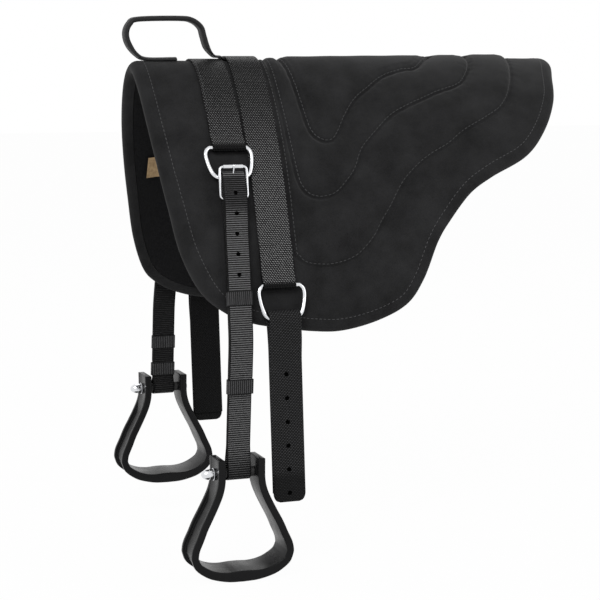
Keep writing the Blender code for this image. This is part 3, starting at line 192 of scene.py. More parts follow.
def distance_to(points, loop):
    """Least distance from each point to a closed loop, taken as short straight steps."""
    line = shut(loop)[::LOOP_THINNING]
    nearest = np.full(len(points), np.inf)
    for start, end in zip(line, line[1:]):
        step = end - start
        share = np.clip(((points - start) @ step) / (step @ step), 0, 1)
        away = np.linalg.norm(points - start - share[:, None] * step, axis=1)
        nearest = np.minimum(nearest, away)
    return nearest


def arc_points(centre, radius, start_deg, end_deg, steps):
    """Centre plus radius times (cos, sin) of evenly spaced angles."""
    angles = np.radians(np.linspace(start_deg, end_deg, steps + 1))
    return np.asarray(centre) + radius * np.stack([np.cos(angles), np.sin(angles)], 1)


def rounded_corners(half_x, low, high, bend, steps):
    """Rectangle from -half_x to half_x and low to high, with quarter circles for corners."""
    corners = [(half_x - bend, low + bend, -90), (half_x - bend, high - bend, 0),
               (bend - half_x, high - bend, 90), (bend - half_x, low + bend, 180)]
    return np.vstack([arc_points((a, b), bend, start, start + 90, steps)
                      for a, b, start in corners])


# %% [markdown]
# Every new piece is one of three surfaces: a grid of points, a profile carried along a
# path, or a profile turned about an axis. All three end in the same mesh maker.
# %% Mesh makers
SHARP_DEG = 42


def link(name, data):
    """New object in the scene for a mesh, a lamp or a camera."""
    item = bpy.data.objects.new(name, data)
    bpy.context.scene.collection.objects.link(item)
    return item


def turn_outward(mesh, merge=0.0):
    """Turns every face outward, after points nearer than merge have become one."""
    shape = bmesh.new()
    shape.from_mesh(mesh)
    if merge:
        bmesh.ops.remove_doubles(shape, verts=shape.verts, dist=merge)
        bmesh.ops.dissolve_degenerate(shape, edges=shape.edges, dist=merge)
    bmesh.ops.recalc_face_normals(shape, faces=shape.faces)
    shape.to_mesh(mesh)
    shape.free()


def finish_piece(name, points, faces, finish, sharp_deg=SHARP_DEG, uv=None):
    """Object of points and faces: turned outward, smooth but for sharp edges, one material."""
    mesh = bpy.data.meshes.new(name)
    mesh.from_pydata(points.reshape(-1, 3).tolist(), [], faces)
    if uv is not None:
        layer = mesh.uv_layers.new(name="cloth")
        corner = np.zeros(len(mesh.loops), dtype=int)
        mesh.loops.foreach_get("vertex_index", corner)
        layer.data.foreach_set("uv", uv.reshape(-1, 2)[corner].ravel())
    turn_outward(mesh)
    mesh.shade_smooth()
    mesh.set_sharp_from_angle(angle=math.radians(sharp_deg))
    mesh.materials.append(finish)
    return link(name, mesh)


def dress(piece, body, slot_name, *nodes):
    """Puts a piece in the frame: its body and the nodes it stands for; slot_name is not used."""
    if nodes:
        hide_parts(*nodes)
    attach(piece, body)
    print(piece.name, "faces:", len(piece.data.polygons))
    return piece


def grid_piece(name, grid, finish, along=False, caps=False, uv=None):
    """Quads between neighbours of a grid that closes around; along it may close or be capped."""
    rows, columns = grid.shape[:2]
    index = np.arange(rows * columns).reshape(rows, columns)
    down = shut(index) if along else index
    both = np.hstack([down, down[:, :1]])
    quads = np.stack([both[:-1, :-1], both[:-1, 1:], both[1:, 1:], both[1:, :-1]], -1)
    faces = quads.reshape(-1, 4).tolist()
    if caps:
        faces += [index[0][::-1].tolist(), index[-1].tolist()]
    return finish_piece(name, grid, faces, finish, uv=uv)


def copies_piece(name, grids, finish, sharp_deg):
    """Many small capped tubes in one mesh; grids has copies, rings and sides."""
    copies, rings, sides = grids.shape[:3]
    index = np.arange(rings * sides).reshape(rings, sides)
    after = np.roll(index, -1, 1)
    quads = np.stack([index[:-1], after[:-1], after[1:], index[1:]], -1).reshape(-1, 4)
    starts = np.arange(copies)[:, None] * rings * sides
    faces = (quads[None] + starts[..., None]).reshape(-1, 4).tolist()
    for end in (index[0][::-1], index[-1]):
        faces += (end + starts).tolist()
    return finish_piece(name, grids, faces, finish, sharp_deg)


def circle(first, second, sides):
    """Cos turn times first plus sin turn times second, at evenly spaced turns."""
    turn = np.linspace(0, 2 * np.pi, sides, endpoint=False)[:, None]
    return np.cos(turn) * first[..., None, :] + np.sin(turn) * second[..., None, :]


def tube(name, points, radius, finish, sides, closed=False):
    """Circle of that radius square to the path at each point, its frame carried along."""
    if closed:
        ahead = unit(np.roll(points, -1, 0) - np.roll(points, 1, 0))
    else:
        ahead = unit(np.gradient(points, axis=0))
    flat_normal = np.linalg.svd(points - points.mean(0))[2][2]
    first = unit(np.cross(ahead, flat_normal))
    ring = circle(first, np.cross(ahead, first), sides)
    radius = np.broadcast_to(radius, len(points))[:, None, None]
    return grid_piece(name, points[:, None] + ring * radius, finish, closed, not closed)


def turned(name, profile, centre, finish, sides, closed=False):
    """Profile of (along X, radius) pairs turned about the X axis through a centre."""
    along, radius = np.array(profile, dtype=float).T[..., None, None]
    right, ahead, up = np.eye(3)
    grid = centre + along * right + radius * circle(ahead, up, sides)
    return grid_piece(name, grid, finish, closed, not closed)


# %% Straps
EDGE_STEPS, FLAT_POINTS = 6, 8
# How dark the painted shade is on faces turned to the horse, and the cosine at which one is fully
# turned
INNER_PAINTED_SHADE, TURNED_IN = 0.72, 0.5


def band_profile(thickness):
    """Flat band one wide, with half-round edges, as (across, off) pairs."""
    soft = thickness / 2
    right = arc_points((0.5 - soft, 0), soft, -90, 90, EDGE_STEPS)
    left = arc_points((soft - 0.5, 0), soft, 90, 270, EDGE_STEPS)
    middle = np.linspace(0.5 - soft, soft - 0.5, FLAT_POINTS + 2)[1:-1]
    top = np.stack([middle, np.full(FLAT_POINTS, soft)], 1)
    return np.vstack([right, top, left, -top])


def cloth_uv(across, along):
    """UV in metres: across the band, and the distance gone along it."""
    return np.stack(np.broadcast_arrays(across, along[:, None]), -1)


def round_tip(shares, narrowest):
    """Shares of the full width over a tip, as a part of an ellipse."""
    return narrowest + (1 - narrowest) * np.sqrt(1 - shares ** 2)


def strap_piece(name, path, width, thickness, x, side, finish, closed):
    """Band profile carried along an upright path (outward, up); x is its middle line.

    closed is 0 where the weave stands open and 1 where it lies flat and dark. Faces turned to
    the horse get painted shade too.
    """
    path = np.array(path, dtype=float)
    normals = left_of(unit(np.gradient(path, axis=0)))
    soft = thickness / np.max(width)
    profile = band_profile(soft)
    width, x, closed = (np.broadcast_to(v, len(path))[:, None] for v in (width, x, closed))
    across = profile[:, 0] * width
    spot = path[:, None] + normals[:, None] * (profile[:, 1:] * (thickness / soft))
    grid = np.stack([x + across, side * spot[..., 0], spot[..., 1]], -1)
    piece = grid_piece(name, grid, finish, caps=True, uv=cloth_uv(across, gone(path)))
    # Painted shade on faces turned to the horse, joined with the closed weave
    facing = normals[:, :1] * np.sign(path[:, :1]) * np.sign(profile[:, 1])
    dark = np.maximum(closed, INNER_PAINTED_SHADE * smoothstep(-facing / TURNED_IN))
    weave = piece.data.attributes.new("closed_weave_and_painted_shade", "FLOAT", "POINT")
    weave.data.foreach_set("value", dark.ravel())
    return piece


# %% [markdown]
# A finish is what the light reads first. Suede and webbing scatter light, so they are rough
# with a soft sheen; the weave is a bump that follows each strap's own UV map in metres, so
# that it bends with the strap. Metal is smooth with faint wear.
# %% Shader helpers
RAMP_LOW, RAMP_HIGH = 0.3, 0.7


def new_finish(name, colour, roughness, **sockets):
    """Material with one surface shader; constants sit on the shader's own sockets."""
    finish = bpy.data.materials.new(name)
    finish.use_nodes = True
    shader = finish.node_tree.nodes["Principled BSDF"]
    shader.inputs["Base Color"].default_value = (*colour, 1)
    shader.inputs["Roughness"].default_value = roughness
    for key, value in sockets.items():
        shader.inputs[key.replace("_", " ")].default_value = value
    return finish, finish.node_tree, shader


def fill_socket(tree, socket, value):
    """Links another node's output to a socket, or sets a constant on it."""
    if isinstance(value, bpy.types.NodeSocket):
        tree.links.new(value, socket)
    else:
        socket.default_value = value


def add(tree, kind, **inputs):
    """New node with some of its inputs filled, by name or as i0, i1 and so on by number."""
    node = tree.nodes.new(kind)
    for key, value in inputs.items():
        numbered = key[0] == "i" and key[1:].isdigit()
        fill_socket(tree, node.inputs[int(key[1:]) if numbered else key], value)
    return node


def maths(tree, operation, *values):
    """One maths node: its operation on one, two or three values."""
    node = tree.nodes.new("ShaderNodeMath")
    node.operation = operation
    for socket, value in zip(node.inputs, values):
        fill_socket(tree, socket, value)
    return node.outputs[0]


def place_of(tree):
    """Object coordinates of the shaded point."""
    return tree.nodes.new("ShaderNodeTexCoord").outputs["Object"]


def strap_place(tree):
    """Across and along a strap, in metres, from its own UV map."""
    node = tree.nodes.new("ShaderNodeUVMap")
    node.uv_map = "cloth"
    split = add(tree, "ShaderNodeSeparateXYZ", i0=node.outputs[0])
    return split.outputs[0], split.outputs[1]


def noise(tree, scale, detail=4.0, roughness=0.6):
    """Fractal noise on Object coordinates, about 0.5 in the middle."""
    return add(tree, "ShaderNodeTexNoise", Vector=place_of(tree), Scale=scale, Detail=detail,
               Roughness=roughness).outputs[0]


def mottle(tree, shader, amount, dark, light, target="Base Color"):
    """Colour or value from dark to light as the amount goes over the ramp."""
    ramp = tree.nodes.new("ShaderNodeValToRGB")
    ends = zip(ramp.color_ramp.elements, (RAMP_LOW, RAMP_HIGH), (dark, light))
    for element, position, colour in ends:
        element.position, element.color = position, (*colour, 1)
    tree.links.new(amount, ramp.inputs[0])
    tree.links.new(ramp.outputs[0], shader.inputs[target])


def emboss(tree, shader, height, depth):
    """Bump: the normal leans as if the surface rose by height times depth."""
    node = add(tree, "ShaderNodeBump", Height=height, Distance=depth, Strength=1.0)
    tree.links.new(node.outputs[0], shader.inputs["Normal"])


# %% Black suede and felt
NAP_SHARE = 0.45


def make_suede():
    """Fine nap: colour and relief follow a short-range noise, brushed by a long one."""
    finish, tree, shader = new_finish("black_suede", (0.012, 0.012, 0.013), 0.95,
                                      Sheen_Weight=0.06, Sheen_Roughness=0.5,
                                      Specular_IOR_Level=0.2)
    nap = noise(tree, 900.0, 3.0, 0.7)
    brushed = maths(tree, "MULTIPLY", noise(tree, 22.0, 5.0), 1 - NAP_SHARE)
    both = maths(tree, "MULTIPLY_ADD", nap, NAP_SHARE, brushed)
    mottle(tree, shader, both, (0.001, 0.001, 0.0011), (0.023, 0.023, 0.024))
    emboss(tree, shader, nap, 0.00022)
    return finish


def make_felt():
    """Short fibres: one fine noise moves the colour and the relief."""
    finish, tree, shader = new_finish("charcoal_felt", (0.02, 0.02, 0.021), 0.97,
                                      Sheen_Weight=0.03, Sheen_Roughness=0.6,
                                      Specular_IOR_Level=0.08)
    fibres = noise(tree, 420.0, 6.0, 0.75)
    mottle(tree, shader, fibres, (0.002, 0.002, 0.0022), (0.013, 0.013, 0.014))
    emboss(tree, shader, fibres, 0.0005)
    return finish


suede = make_suede()
felt = make_felt()
print("finishes:", suede.name, felt.name)

# %% [markdown]
# Webbing is woven, and each kind shows its own relief. The stirrup straps have ribs square
# to their length that stop short of smooth edges. The wide webs have rows of small pebbles,
# each row half a pebble further on, which the eye reads as a twill. The relief also lightens
# the colour of the crests: a painted highlight.
# %% Woven finishes
RIB_POWER, PEBBLE_POWER, WARP_PITCH, WARP_SHARE = 4.0, 2.0, 0.0010, 0.16
FUZZ_SCALE, CLOTH_SHARE, FUZZ_SHARE, CLOSED_AND_SHADE_LOSS = 380.0, 0.62, 0.40, 0.75
WEAVE_ROUGHNESS, WEAVE_GLOSS = 0.5, 0.10
# The dark colour is the nylon's own; the light one is a painted highlight for the crests
DARK_THREAD, CREST_HIGHLIGHT = (0.003, 0.003, 0.0032), (0.34, 0.34, 0.343)


def hump(tree, value, pitch):
    """|sin(pi value / pitch)|: a row of rounded humps, one per pitch."""
    turn = maths(tree, "MULTIPLY", value, math.pi / pitch)
    return maths(tree, "ABSOLUTE", maths(tree, "SINE", turn))


def make_weave(name, dark, light, relief, depth, roughness=WEAVE_ROUGHNESS):
    """Crests get a painted highlight over dark valleys, less so where closed and where shade is
    painted.
    """
    finish, tree, shader = new_finish(name, light, roughness, Specular_IOR_Level=WEAVE_GLOSS)
    cloth = relief(tree, *strap_place(tree))
    # The attribute holds the closed weave and the painted shade of faces turned to the horse
    closed = tree.nodes.new("ShaderNodeAttribute")
    closed.attribute_name = "closed_weave_and_painted_shade"
    fuzz = maths(tree, "MULTIPLY", noise(tree, FUZZ_SCALE, 3.0), FUZZ_SHARE)
    mix = maths(tree, "MULTIPLY_ADD", cloth, CLOTH_SHARE, fuzz)
    shown = maths(tree, "MULTIPLY_ADD", closed.outputs["Fac"], -CLOSED_AND_SHADE_LOSS, 1.0)
    mottle(tree, shader, maths(tree, "MULTIPLY", mix, shown), dark, light)
    emboss(tree, shader, cloth, depth)
    return finish


def ribs(pitch, edge):
    """Relief of ribs along the strap, ended at a distance from the middle line."""
    def relief(tree, across, along):
        inside = maths(tree, "LESS_THAN", maths(tree, "ABSOLUTE", across), edge)
        rib = maths(tree, "POWER", hump(tree, along, pitch), RIB_POWER)
        warp = hump(tree, across, WARP_PITCH)
        return maths(tree, "MULTIPLY_ADD", warp, WARP_SHARE, maths(tree, "MULTIPLY", rib, inside))
    return relief


def pebbles(wide, tall):
    """Relief of humps across times humps along, shifted half a hump from row to row."""
    def relief(tree, across, along):
        shifted = maths(tree, "MULTIPLY_ADD", along, wide / tall / 2, across)
        cloth = maths(tree, "MULTIPLY", hump(tree, shifted, wide), hump(tree, along, tall))
        return maths(tree, "POWER", cloth, PEBBLE_POWER)
    return relief


# Each light colour below is a painted highlight on the crests; each dark one is the webbing's own
web_weave = make_weave("twill_web", DARK_THREAD, CREST_HIGHLIGHT, pebbles(0.0034, 0.0025), 0.0012)
strap_weave = make_weave("ribbed_strap", DARK_THREAD, (0.17, 0.17, 0.173),
                         ribs(0.0028, 0.0144), 0.0009)
latigo_weave = make_weave("latigo_nylon", DARK_THREAD, (0.060, 0.060, 0.062),
                          pebbles(0.0040, 0.0021), 0.0006)
keeper_weave = make_weave("keeper_web", (0.008, 0.008, 0.0085), (0.075, 0.075, 0.077),
                          ribs(0.0027, 0.0085), 0.0006, roughness=0.55)
handle_weave = make_weave("handle_web", (0.020, 0.020, 0.0205), (0.062, 0.062, 0.064),
                          ribs(0.0016, 0.0085), 0.0002)
print("woven finishes:", 5)


# %% Metal, casting, thread and patch
def make_hazed(name, colour, roughness, haze, scale, grain, depth, **sockets):
    """Smooth skin whose roughness wanders over the haze's range, over a faint grain."""
    finish, tree, shader = new_finish(name, colour, roughness, **sockets)
    low, high = ((value,) * 3 for value in haze)
    mottle(tree, shader, noise(tree, scale, 5.0), low, high, "Roughness")
    emboss(tree, shader, noise(tree, grain, 2.0), depth)
    return finish


def make_plain(name, dark, light, roughness, grain, depth, **sockets):
    """One noise moves the colour from dark to light and raises the grain."""
    finish, tree, shader = new_finish(name, light, roughness, **sockets)
    amount = noise(tree, grain)
    mottle(tree, shader, amount, dark, light)
    emboss(tree, shader, amount, depth)
    return finish


chrome = make_hazed("chrome", (0.74, 0.75, 0.77), 0.14, (0.09, 0.24), 160.0, 60.0, 0.00006,
                    Metallic=1.0)
casting = make_hazed("black_casting", (0.009, 0.009, 0.0095), 0.3, (0.20, 0.36), 45.0, 750.0,
                     0.00005, Specular_IOR_Level=0.09)
thread = make_plain("seam_thread", (0.02, 0.02, 0.021), (0.085, 0.085, 0.088), 0.75,
                    1500.0, 0.0001)
tan_patch = make_plain("tan_patch", (0.30, 0.19, 0.09), (0.50, 0.35, 0.19), 0.75,
                       260.0, 0.00025)
sleeve_rubber = make_plain("black_sleeve", (0.012, 0.012, 0.012), (0.022, 0.022, 0.022), 0.6,
                           300.0, 0.0001)
# Dark burned lips of the holes, and the painted shade of each hole's inside
dark_lip_hole_shade = make_plain("eyelet_dark_lip_and_hole_shade", (0.0, 0.0, 0.0), (0.001, 0.001, 0.001), 1.0,
                   900.0, 0.0001, Specular_IOR_Level=0.03)
print("hard finishes:", chrome.name, casting.name, tan_patch.name)

# %% [markdown]
# The cover is one sheet of suede. Its grid is laid along the sewn lines: it starts as a
# spine on the ridge and grows outward through the three seams to the edge. With grid rows
# right on each seam the sewn channel stays crisp, and between seams the rows can be wide.
# %% Outline and sewn lines of one half
# First value: share of half the pad's length, negative towards the front. Second value:
# share of the flap's arc.
OUTLINE = [
    (-1.0, 0.0), (-1.0, 0.11), (-0.985, 0.27), (-0.96, 0.42), (-0.93, 0.56), (-0.89, 0.72),
    (-0.82, 0.855), (-0.73, 0.92), (-0.61, 0.957), (-0.48, 0.975), (-0.36, 0.99), (-0.22, 1.0),
    (-0.06, 0.985), (0.065, 0.95), (0.14, 0.88), (0.21, 0.77), (0.275, 0.705), (0.375, 0.63),
    (0.48, 0.588), (0.65, 0.535), (0.765, 0.447), (0.86, 0.325), (0.92, 0.2), (0.975, 0.095),
    (1.0, 0.0),
]
INNER_SEAM = [
    (-0.33, 0.0), (-0.315, 0.16), (-0.305, 0.256), (-0.285, 0.341), (-0.23, 0.378),
    (-0.175, 0.368), (-0.11, 0.293), (-0.05, 0.237), (0.02, 0.198), (0.11, 0.15),
    (0.21, 0.124), (0.29, 0.11), (0.41, 0.0),
]
MIDDLE_SEAM = [
    (-0.393, 0.0), (-0.40, 0.151), (-0.393, 0.327), (-0.383, 0.451), (-0.37, 0.515),
    (-0.334, 0.554), (-0.276, 0.568), (-0.211, 0.559), (-0.162, 0.529), (-0.11, 0.485),
    (-0.065, 0.42), (0.01, 0.366), (0.09, 0.317), (0.172, 0.29), (0.25, 0.27),
    (0.328, 0.249), (0.416, 0.232), (0.474, 0.2), (0.54, 0.12), (0.588, 0.0),
]
SEAT_SEAM = [
    (-0.425, 0.0), (-0.425, 0.366), (-0.425, 0.707), (-0.406, 0.756), (-0.367, 0.778),
    (-0.295, 0.788), (-0.24, 0.788), (-0.182, 0.78), (-0.127, 0.761), (-0.062, 0.715),
    (-0.026, 0.673), (0.02, 0.629), (0.065, 0.578), (0.104, 0.544), (0.166, 0.507),
    (0.224, 0.483), (0.312, 0.456), (0.386, 0.422), (0.506, 0.383), (0.591, 0.346),
    (0.659, 0.278), (0.724, 0.166), (0.795, 0.0),
]
HALF_STEPS, SHARPEST_BEND = 320, 0.5


def whole_loop(shares):
    """Front to rear along one half, then back along the mirrored half."""
    half = smooth(np.array(shares) * [HALF_LENGTH, FLAP_ARC], HALF_STEPS)
    half[0, 1] = half[-1, 1] = 0
    return np.vstack([half, (half[1:-1] * [1, -1])[::-1]])


def inset_loop(loop, distance):
    """Each point of a closed loop moved in along the bisector of its two edges."""
    one = -left_of(unit(loop - np.roll(loop, 1, 0)))
    two = -left_of(unit(np.roll(loop, -1, 0) - loop))
    middle = one + two
    middle /= np.maximum((middle * one).sum(1), SHARPEST_BEND)[:, None]
    return loop + middle * distance


outline_loop = whole_loop(OUTLINE)
seam_loops = [whole_loop(shares) for shares in (INNER_SEAM, MIDDLE_SEAM, SEAT_SEAM)]
spine_loop = seam_loops[0] * [1, 0]
print("outline points:", len(outline_loop), "length mm:", round(gone(outline_loop)[-1] * 1000))


# %% Height of the quilted top
GROOVE_DEPTH, GROOVE_WIDTH, CHANNEL_LIP = 0.00143, 0.0022, 0.008
PUCKER, PUCKER_REACH, PUCKERS_PER_METRE = 0.00034, 0.010, 64.0
SLOW_SWELL = 0.9 * PUCKER


def inside_share(points, loop):
    """Distance to a loop, positive where a line to one side crosses it an odd time."""
    x, s = points.T
    odd = np.zeros(len(points), dtype=bool)
    for (x1, s1), (x2, s2) in zip(loop, np.roll(loop, -1, 0)):
        if s1 != s2:
            odd ^= ((s1 > s) != (s2 > s)) & (x < x1 + (s - s1) * (x2 - x1) / (s2 - s1))
    return distance_to(points, loop) * np.where(odd, 1, -1)


def pucker(points, closest):
    """Product of two wandering sines, strong near a seam, over a slower swell everywhere."""
    x, s = points.T
    turn = 2 * np.pi * PUCKERS_PER_METRE
    # The uneven numbers keep the folds from lining up
    wave = np.sin(turn * x + 2 * np.sin(37 * s)) * np.sin(turn * 0.83 * s + 2 * np.sin(41 * x))
    slow = np.sin(71 * x + 1.3 * np.sin(50 * s)) * np.sin(63 * s + 1.1 * np.sin(44 * x))
    return PUCKER * wave * np.exp(-(closest / PUCKER_REACH) ** 2) + SLOW_SWELL * slow


def quilt_height(points):
    """Seat rise inside the seat seam, a soft channel and a sharp groove along each seam."""
    to_seat = inside_share(points, seam_loops[2])
    nearest = np.minimum(*(distance_to(points, loop) for loop in seam_loops[:2]))
    raised = SEAT_RISE * smoothstep(to_seat / CHANNEL_LIP)
    channel = CHANNEL_DEPTH * (1 - smoothstep(nearest / CHANNEL_LIP))
    in_panel = np.minimum(nearest, np.maximum(to_seat, 0)) - CHANNEL_LIP
    crown = PANEL_CROWN * smoothstep(in_panel / CHANNEL_LIP)
    closest = np.minimum(nearest, np.abs(to_seat))
    groove = GROOVE_DEPTH * np.exp(-(closest / GROOVE_WIDTH) ** 2)
    return raised - channel + crown - groove + pucker(points, closest)


# %% [markdown]
# Between two seams the grid rows are crowded near both and spread out in the middle, as a
# tailor cuts darts only where the cloth turns. The rim is a half circle, and the hem turns
# under it to hold the felt.
# %% The cover's grid on the flat pattern
NEAR_SEAM = np.array([0.0, 0.0009, 0.0018, 0.003, 0.0045, 0.0063, 0.0085, 0.011])
CROWD_ROOM, NO_WIDTH = 1.15 * NEAR_SEAM[-1], 1e-6
BAND_ROWS = (26, 4, 6, 20)
ROLL_STEPS, FLOOR_ROWS = 14, 8
HEM_LIP, HEM_STEP, FELT_ROOM, MERGE = 0.0006, 0.0012, 0.0006, 0.00002


def band(low, high, middle_rows, near_low=True):
    """Rows from one loop to the next: fixed distances at the ends, even steps between."""
    width = np.linalg.norm(high - low, axis=1)
    scale = np.minimum(1, width / 2 / CROWD_ROOM)[:, None]
    ends = NEAR_SEAM[None] * scale / np.maximum(width, NO_WIDTH)[:, None]
    first = ends if near_low else ends[:, :1]
    last = 1 - ends[:, ::-1]
    share = np.linspace(0, 1, middle_rows + 2)[1:-1]
    between = first[:, -1:] + (last[:, :1] - first[:, -1:]) * share[None]
    shares = np.hstack([first, between, last])[:, :-1]
    return [low + (high - low) * column[:, None] for column in shares.T]


def flat_rows():
    """All the rows from the spine, through the three seams, to the top of the rim."""
    loops = [spine_loop, *seam_loops, inset_loop(outline_loop, RIM_RADIUS)]
    rows = []
    for k, count in enumerate(BAND_ROWS):
        rows += band(loops[k], loops[k + 1], count, near_low=k > 0)
    return np.array(rows + [loops[-1]])


flat = flat_rows()
height = quilt_height(flat.reshape(-1, 2)).reshape(flat.shape[:2])
print("rows and columns on the pattern:", flat.shape[:2])


# %% Raise it, roll the rim and turn the hem
def ring(inward, h, share=1.0, shorter=1.0):
    """Draped loop at a distance in from the outline, drawn in towards the ridge."""
    loop = inset_loop(outline_loop, inward)
    return drape(loop[:, 0] * shorter, loop[:, 1] * share, h)[None]


def make_pad_cover():
    """Draped rows, a half-circle rim, the hem, and the floor that the felt lies in."""
    rows = [drape(flat[..., 0], flat[..., 1], height)]
    for angle in np.linspace(0, np.pi, ROLL_STEPS + 1)[1:]:
        rows.append(ring(RIM_RADIUS * (1 - math.sin(angle)), RIM_RADIUS * (math.cos(angle) - 1)))
    recess = LINING_THICKNESS - PAD_THICKNESS + FELT_ROOM
    rows.append(ring(HEM_WIDTH - HEM_LIP, -PAD_THICKNESS))
    rows.append(ring(HEM_WIDTH, HEM_STEP - PAD_THICKNESS))
    rows += [ring(HEM_WIDTH, recess, share) for share in np.linspace(1, 0, FLOOR_ROWS + 1)]
    piece = grid_piece("suede_pad_cover", np.vstack(rows), suede)
    turn_outward(piece.data, MERGE)
    return piece


cover = dress(make_pad_cover(), PAD_BODY, "suede", "suede_cover", "foam_core")

# %% [markdown]
# The lining is a thick felt sheet. It lies in the hem and touches the horse, so it needs
# only a plain thick sheet with a soft edge; its fibres come from the finish.
# %% Felt lining
UNDER_ROWS, INNER_ROWS = 60, 12
FELT_INSET, FELT_EDGE, DRAWN_IN = HEM_WIDTH + 0.0003, 0.0012, 0.999


def make_felt_lining():
    """Rows from the ridge to the hem on the under face, closed by the face inside the pad."""
    low, high = -PAD_THICKNESS, LINING_THICKNESS - PAD_THICKNESS
    rows = [ring(FELT_INSET, low, share, DRAWN_IN) for share in np.linspace(0, 1, UNDER_ROWS)[:-1]]
    rows += [ring(FELT_INSET + FELT_EDGE, low), ring(FELT_INSET, low + FELT_EDGE),
             ring(FELT_INSET, high)]
    rows += [ring(FELT_INSET, high, share, DRAWN_IN)
             for share in np.linspace(1, 0, INNER_ROWS)[1:]]
    piece = grid_piece("felt_pad_lining", np.vstack(rows), felt)
    turn_outward(piece.data, MERGE)
    return piece


lining = dress(make_felt_lining(), PAD_BODY, "felt", "felt_lining")

# %% [markdown]
# A stitch is a short length of thread that dips into the cloth at both ends. One small
# capsule, bent down at its ends, is copied along each sewn line.
# %% Stitches
STITCH_LENGTH, STITCH_PITCH, THREAD_RADIUS, SUNK = 0.0042, 0.0058, 0.00042, 0.00012
STITCH_SIDES, STITCH_SHARP_DEG, UP_STEP = 6, 60, 0.01
# Along the stitch from -1 to 1, and the thread's radius and height there
STITCH_RINGS = ((-1.0, 0.55, -0.9), (-0.72, 1.0, 0.0), (0.0, 1.05, 0.25), (0.72, 1.0, 0.0),
                (1.0, 0.55, -0.9))


def stitches(name, spots, ahead, up):
    """Capsule rings = spot + ahead along + up height + radius (cos side + sin up)."""
    ahead = unit(ahead)
    up = unit(up - (up * ahead).sum(1)[:, None] * ahead)
    hoop = circle(np.cross(ahead, up), up, STITCH_SIDES)
    rings = []
    for along, wide, high in STITCH_RINGS:
        middle = spots + ahead * along * STITCH_LENGTH / 2 + up * (high * THREAD_RADIUS)
        rings.append(middle[:, None] + hoop * wide * THREAD_RADIUS)
    dress(copies_piece(name, np.stack(rings, 1), thread, STITCH_SHARP_DEG), PAD_BODY, "webbing")


def sewn_loop(loop):
    """Stitch places on a closed flat loop, with the direction along it and the way up."""
    line = even_loop(loop, int(gone(loop)[-1] / STITCH_PITCH))
    lift = quilt_height(line) - SUNK
    place = drape(line[:, 0], line[:, 1], lift)
    ahead = np.roll(place, -1, 0) - np.roll(place, 1, 0)
    return place, ahead, drape(line[:, 0], line[:, 1], lift + UP_STEP) - place


SEWN = (("inner", seam_loops[0], 0.0032), ("middle", seam_loops[1], 0.0032),
        ("seat", seam_loops[2], 0.0034), ("rim", outline_loop, 0.0165))
for seam, loop, inward in SEWN:
    stitches(f"{seam}_seam_stitches", *sewn_loop(inset_loop(loop, inward)))

# %% [markdown]
# Two webs cross the pad and carry its load. Each is one length of twill webbing that turns
# round the dee bars and comes back under itself.
# %% Sizes of the webs and dees, in metres
WEB_WIDTH, WEB_THICKNESS, WEB_LIFT, WEB_GAP, WRAP_LIFT = 0.04445, 0.0024, 0.0005, 0.0003, 0.00015
BAR_HEIGHT, BAR_WRAP_GAP, DOUBLED_LIFT = 0.006, 0.0005, 0.0001
# How far before the bar the doubled part starts, ends its straight run and has its cut end
DOUBLED_START, DOUBLED_END, CUT_END = 0.05175, 0.018, 0.045
RAMP_BEFORE, RAMP_LENGTH, EASE_SHARES = 0.009, 0.010, (0.5, 0.74)
DEE_WIRE, DEE_HALF_WIDTH, DEE_DROP = 0.0055, 0.031, 0.0445
FRONT_WEB_X, REAR_WEB_X, FRONT_BAR_ARC, REAR_BAR_ARC = -0.205, -0.1565, 0.160, 0.344
HANDLE_FOOT_LIFT, FOOT_CLEAR_ARC, FOOT_RAMP_ARC = 0.0036, 0.017, 0.045
RIDGE_SHADE, OPEN_ARC, WRAP_SHADE = 0.60, 0.24, 0.95
CURVE_STEP, OVER_POINTS, WRAP_STEPS, BACK_POINTS = 0.004, 6, 16, 8


def web_path(bar_arc, x, foot_lift):
    """Half a web: along the pad, over the return, round the bar, and back under.

    Also how closed its weave is: flat near the ridge and round the bar, open between.
    """
    middle = WEB_LIFT + WEB_THICKNESS / 2
    doubled = middle + WEB_THICKNESS + WEB_GAP + DOUBLED_LIFT
    radius = DEE_WIRE / 2 + BAR_WRAP_GAP + WEB_THICKNESS / 2
    start, end = bar_arc - DOUBLED_START, bar_arc - DOUBLED_END
    arcs, over = np.arange(0, start, CURVE_STEP), np.linspace(start, end, OVER_POINTS)
    foot = 1 - smoothstep((arcs - FOOT_CLEAR_ARC) / (FOOT_RAMP_ARC - FOOT_CLEAR_ARC))
    rise = smoothstep((arcs - start + RAMP_BEFORE) / RAMP_LENGTH)
    path = list(section(x, arcs, middle + foot_lift * foot + (doubled - middle) * rise))
    path += list(section(x, over, doubled))
    centre = section(x, bar_arc, BAR_HEIGHT + WRAP_LIFT)
    out_deg = off_pad_deg(slope_at(x, bar_arc))
    wrap = arc_points(centre, radius, out_deg, out_deg - 180, WRAP_STEPS)
    path += [path[-1] + (wrap[0] - path[-1]) * share for share in EASE_SHARES] + list(wrap)
    back = np.linspace(end + CURVE_STEP, bar_arc - CUT_END, BACK_POINTS)
    path += list(section(x, back, middle))
    closed = np.full(len(path), WRAP_SHADE)
    shown = np.concatenate([arcs, over, [end] * len(EASE_SHARES)])
    closed[:len(shown)] = RIDGE_SHADE * (1 - smoothstep(shown / OPEN_ARC))
    return np.array(path), closed


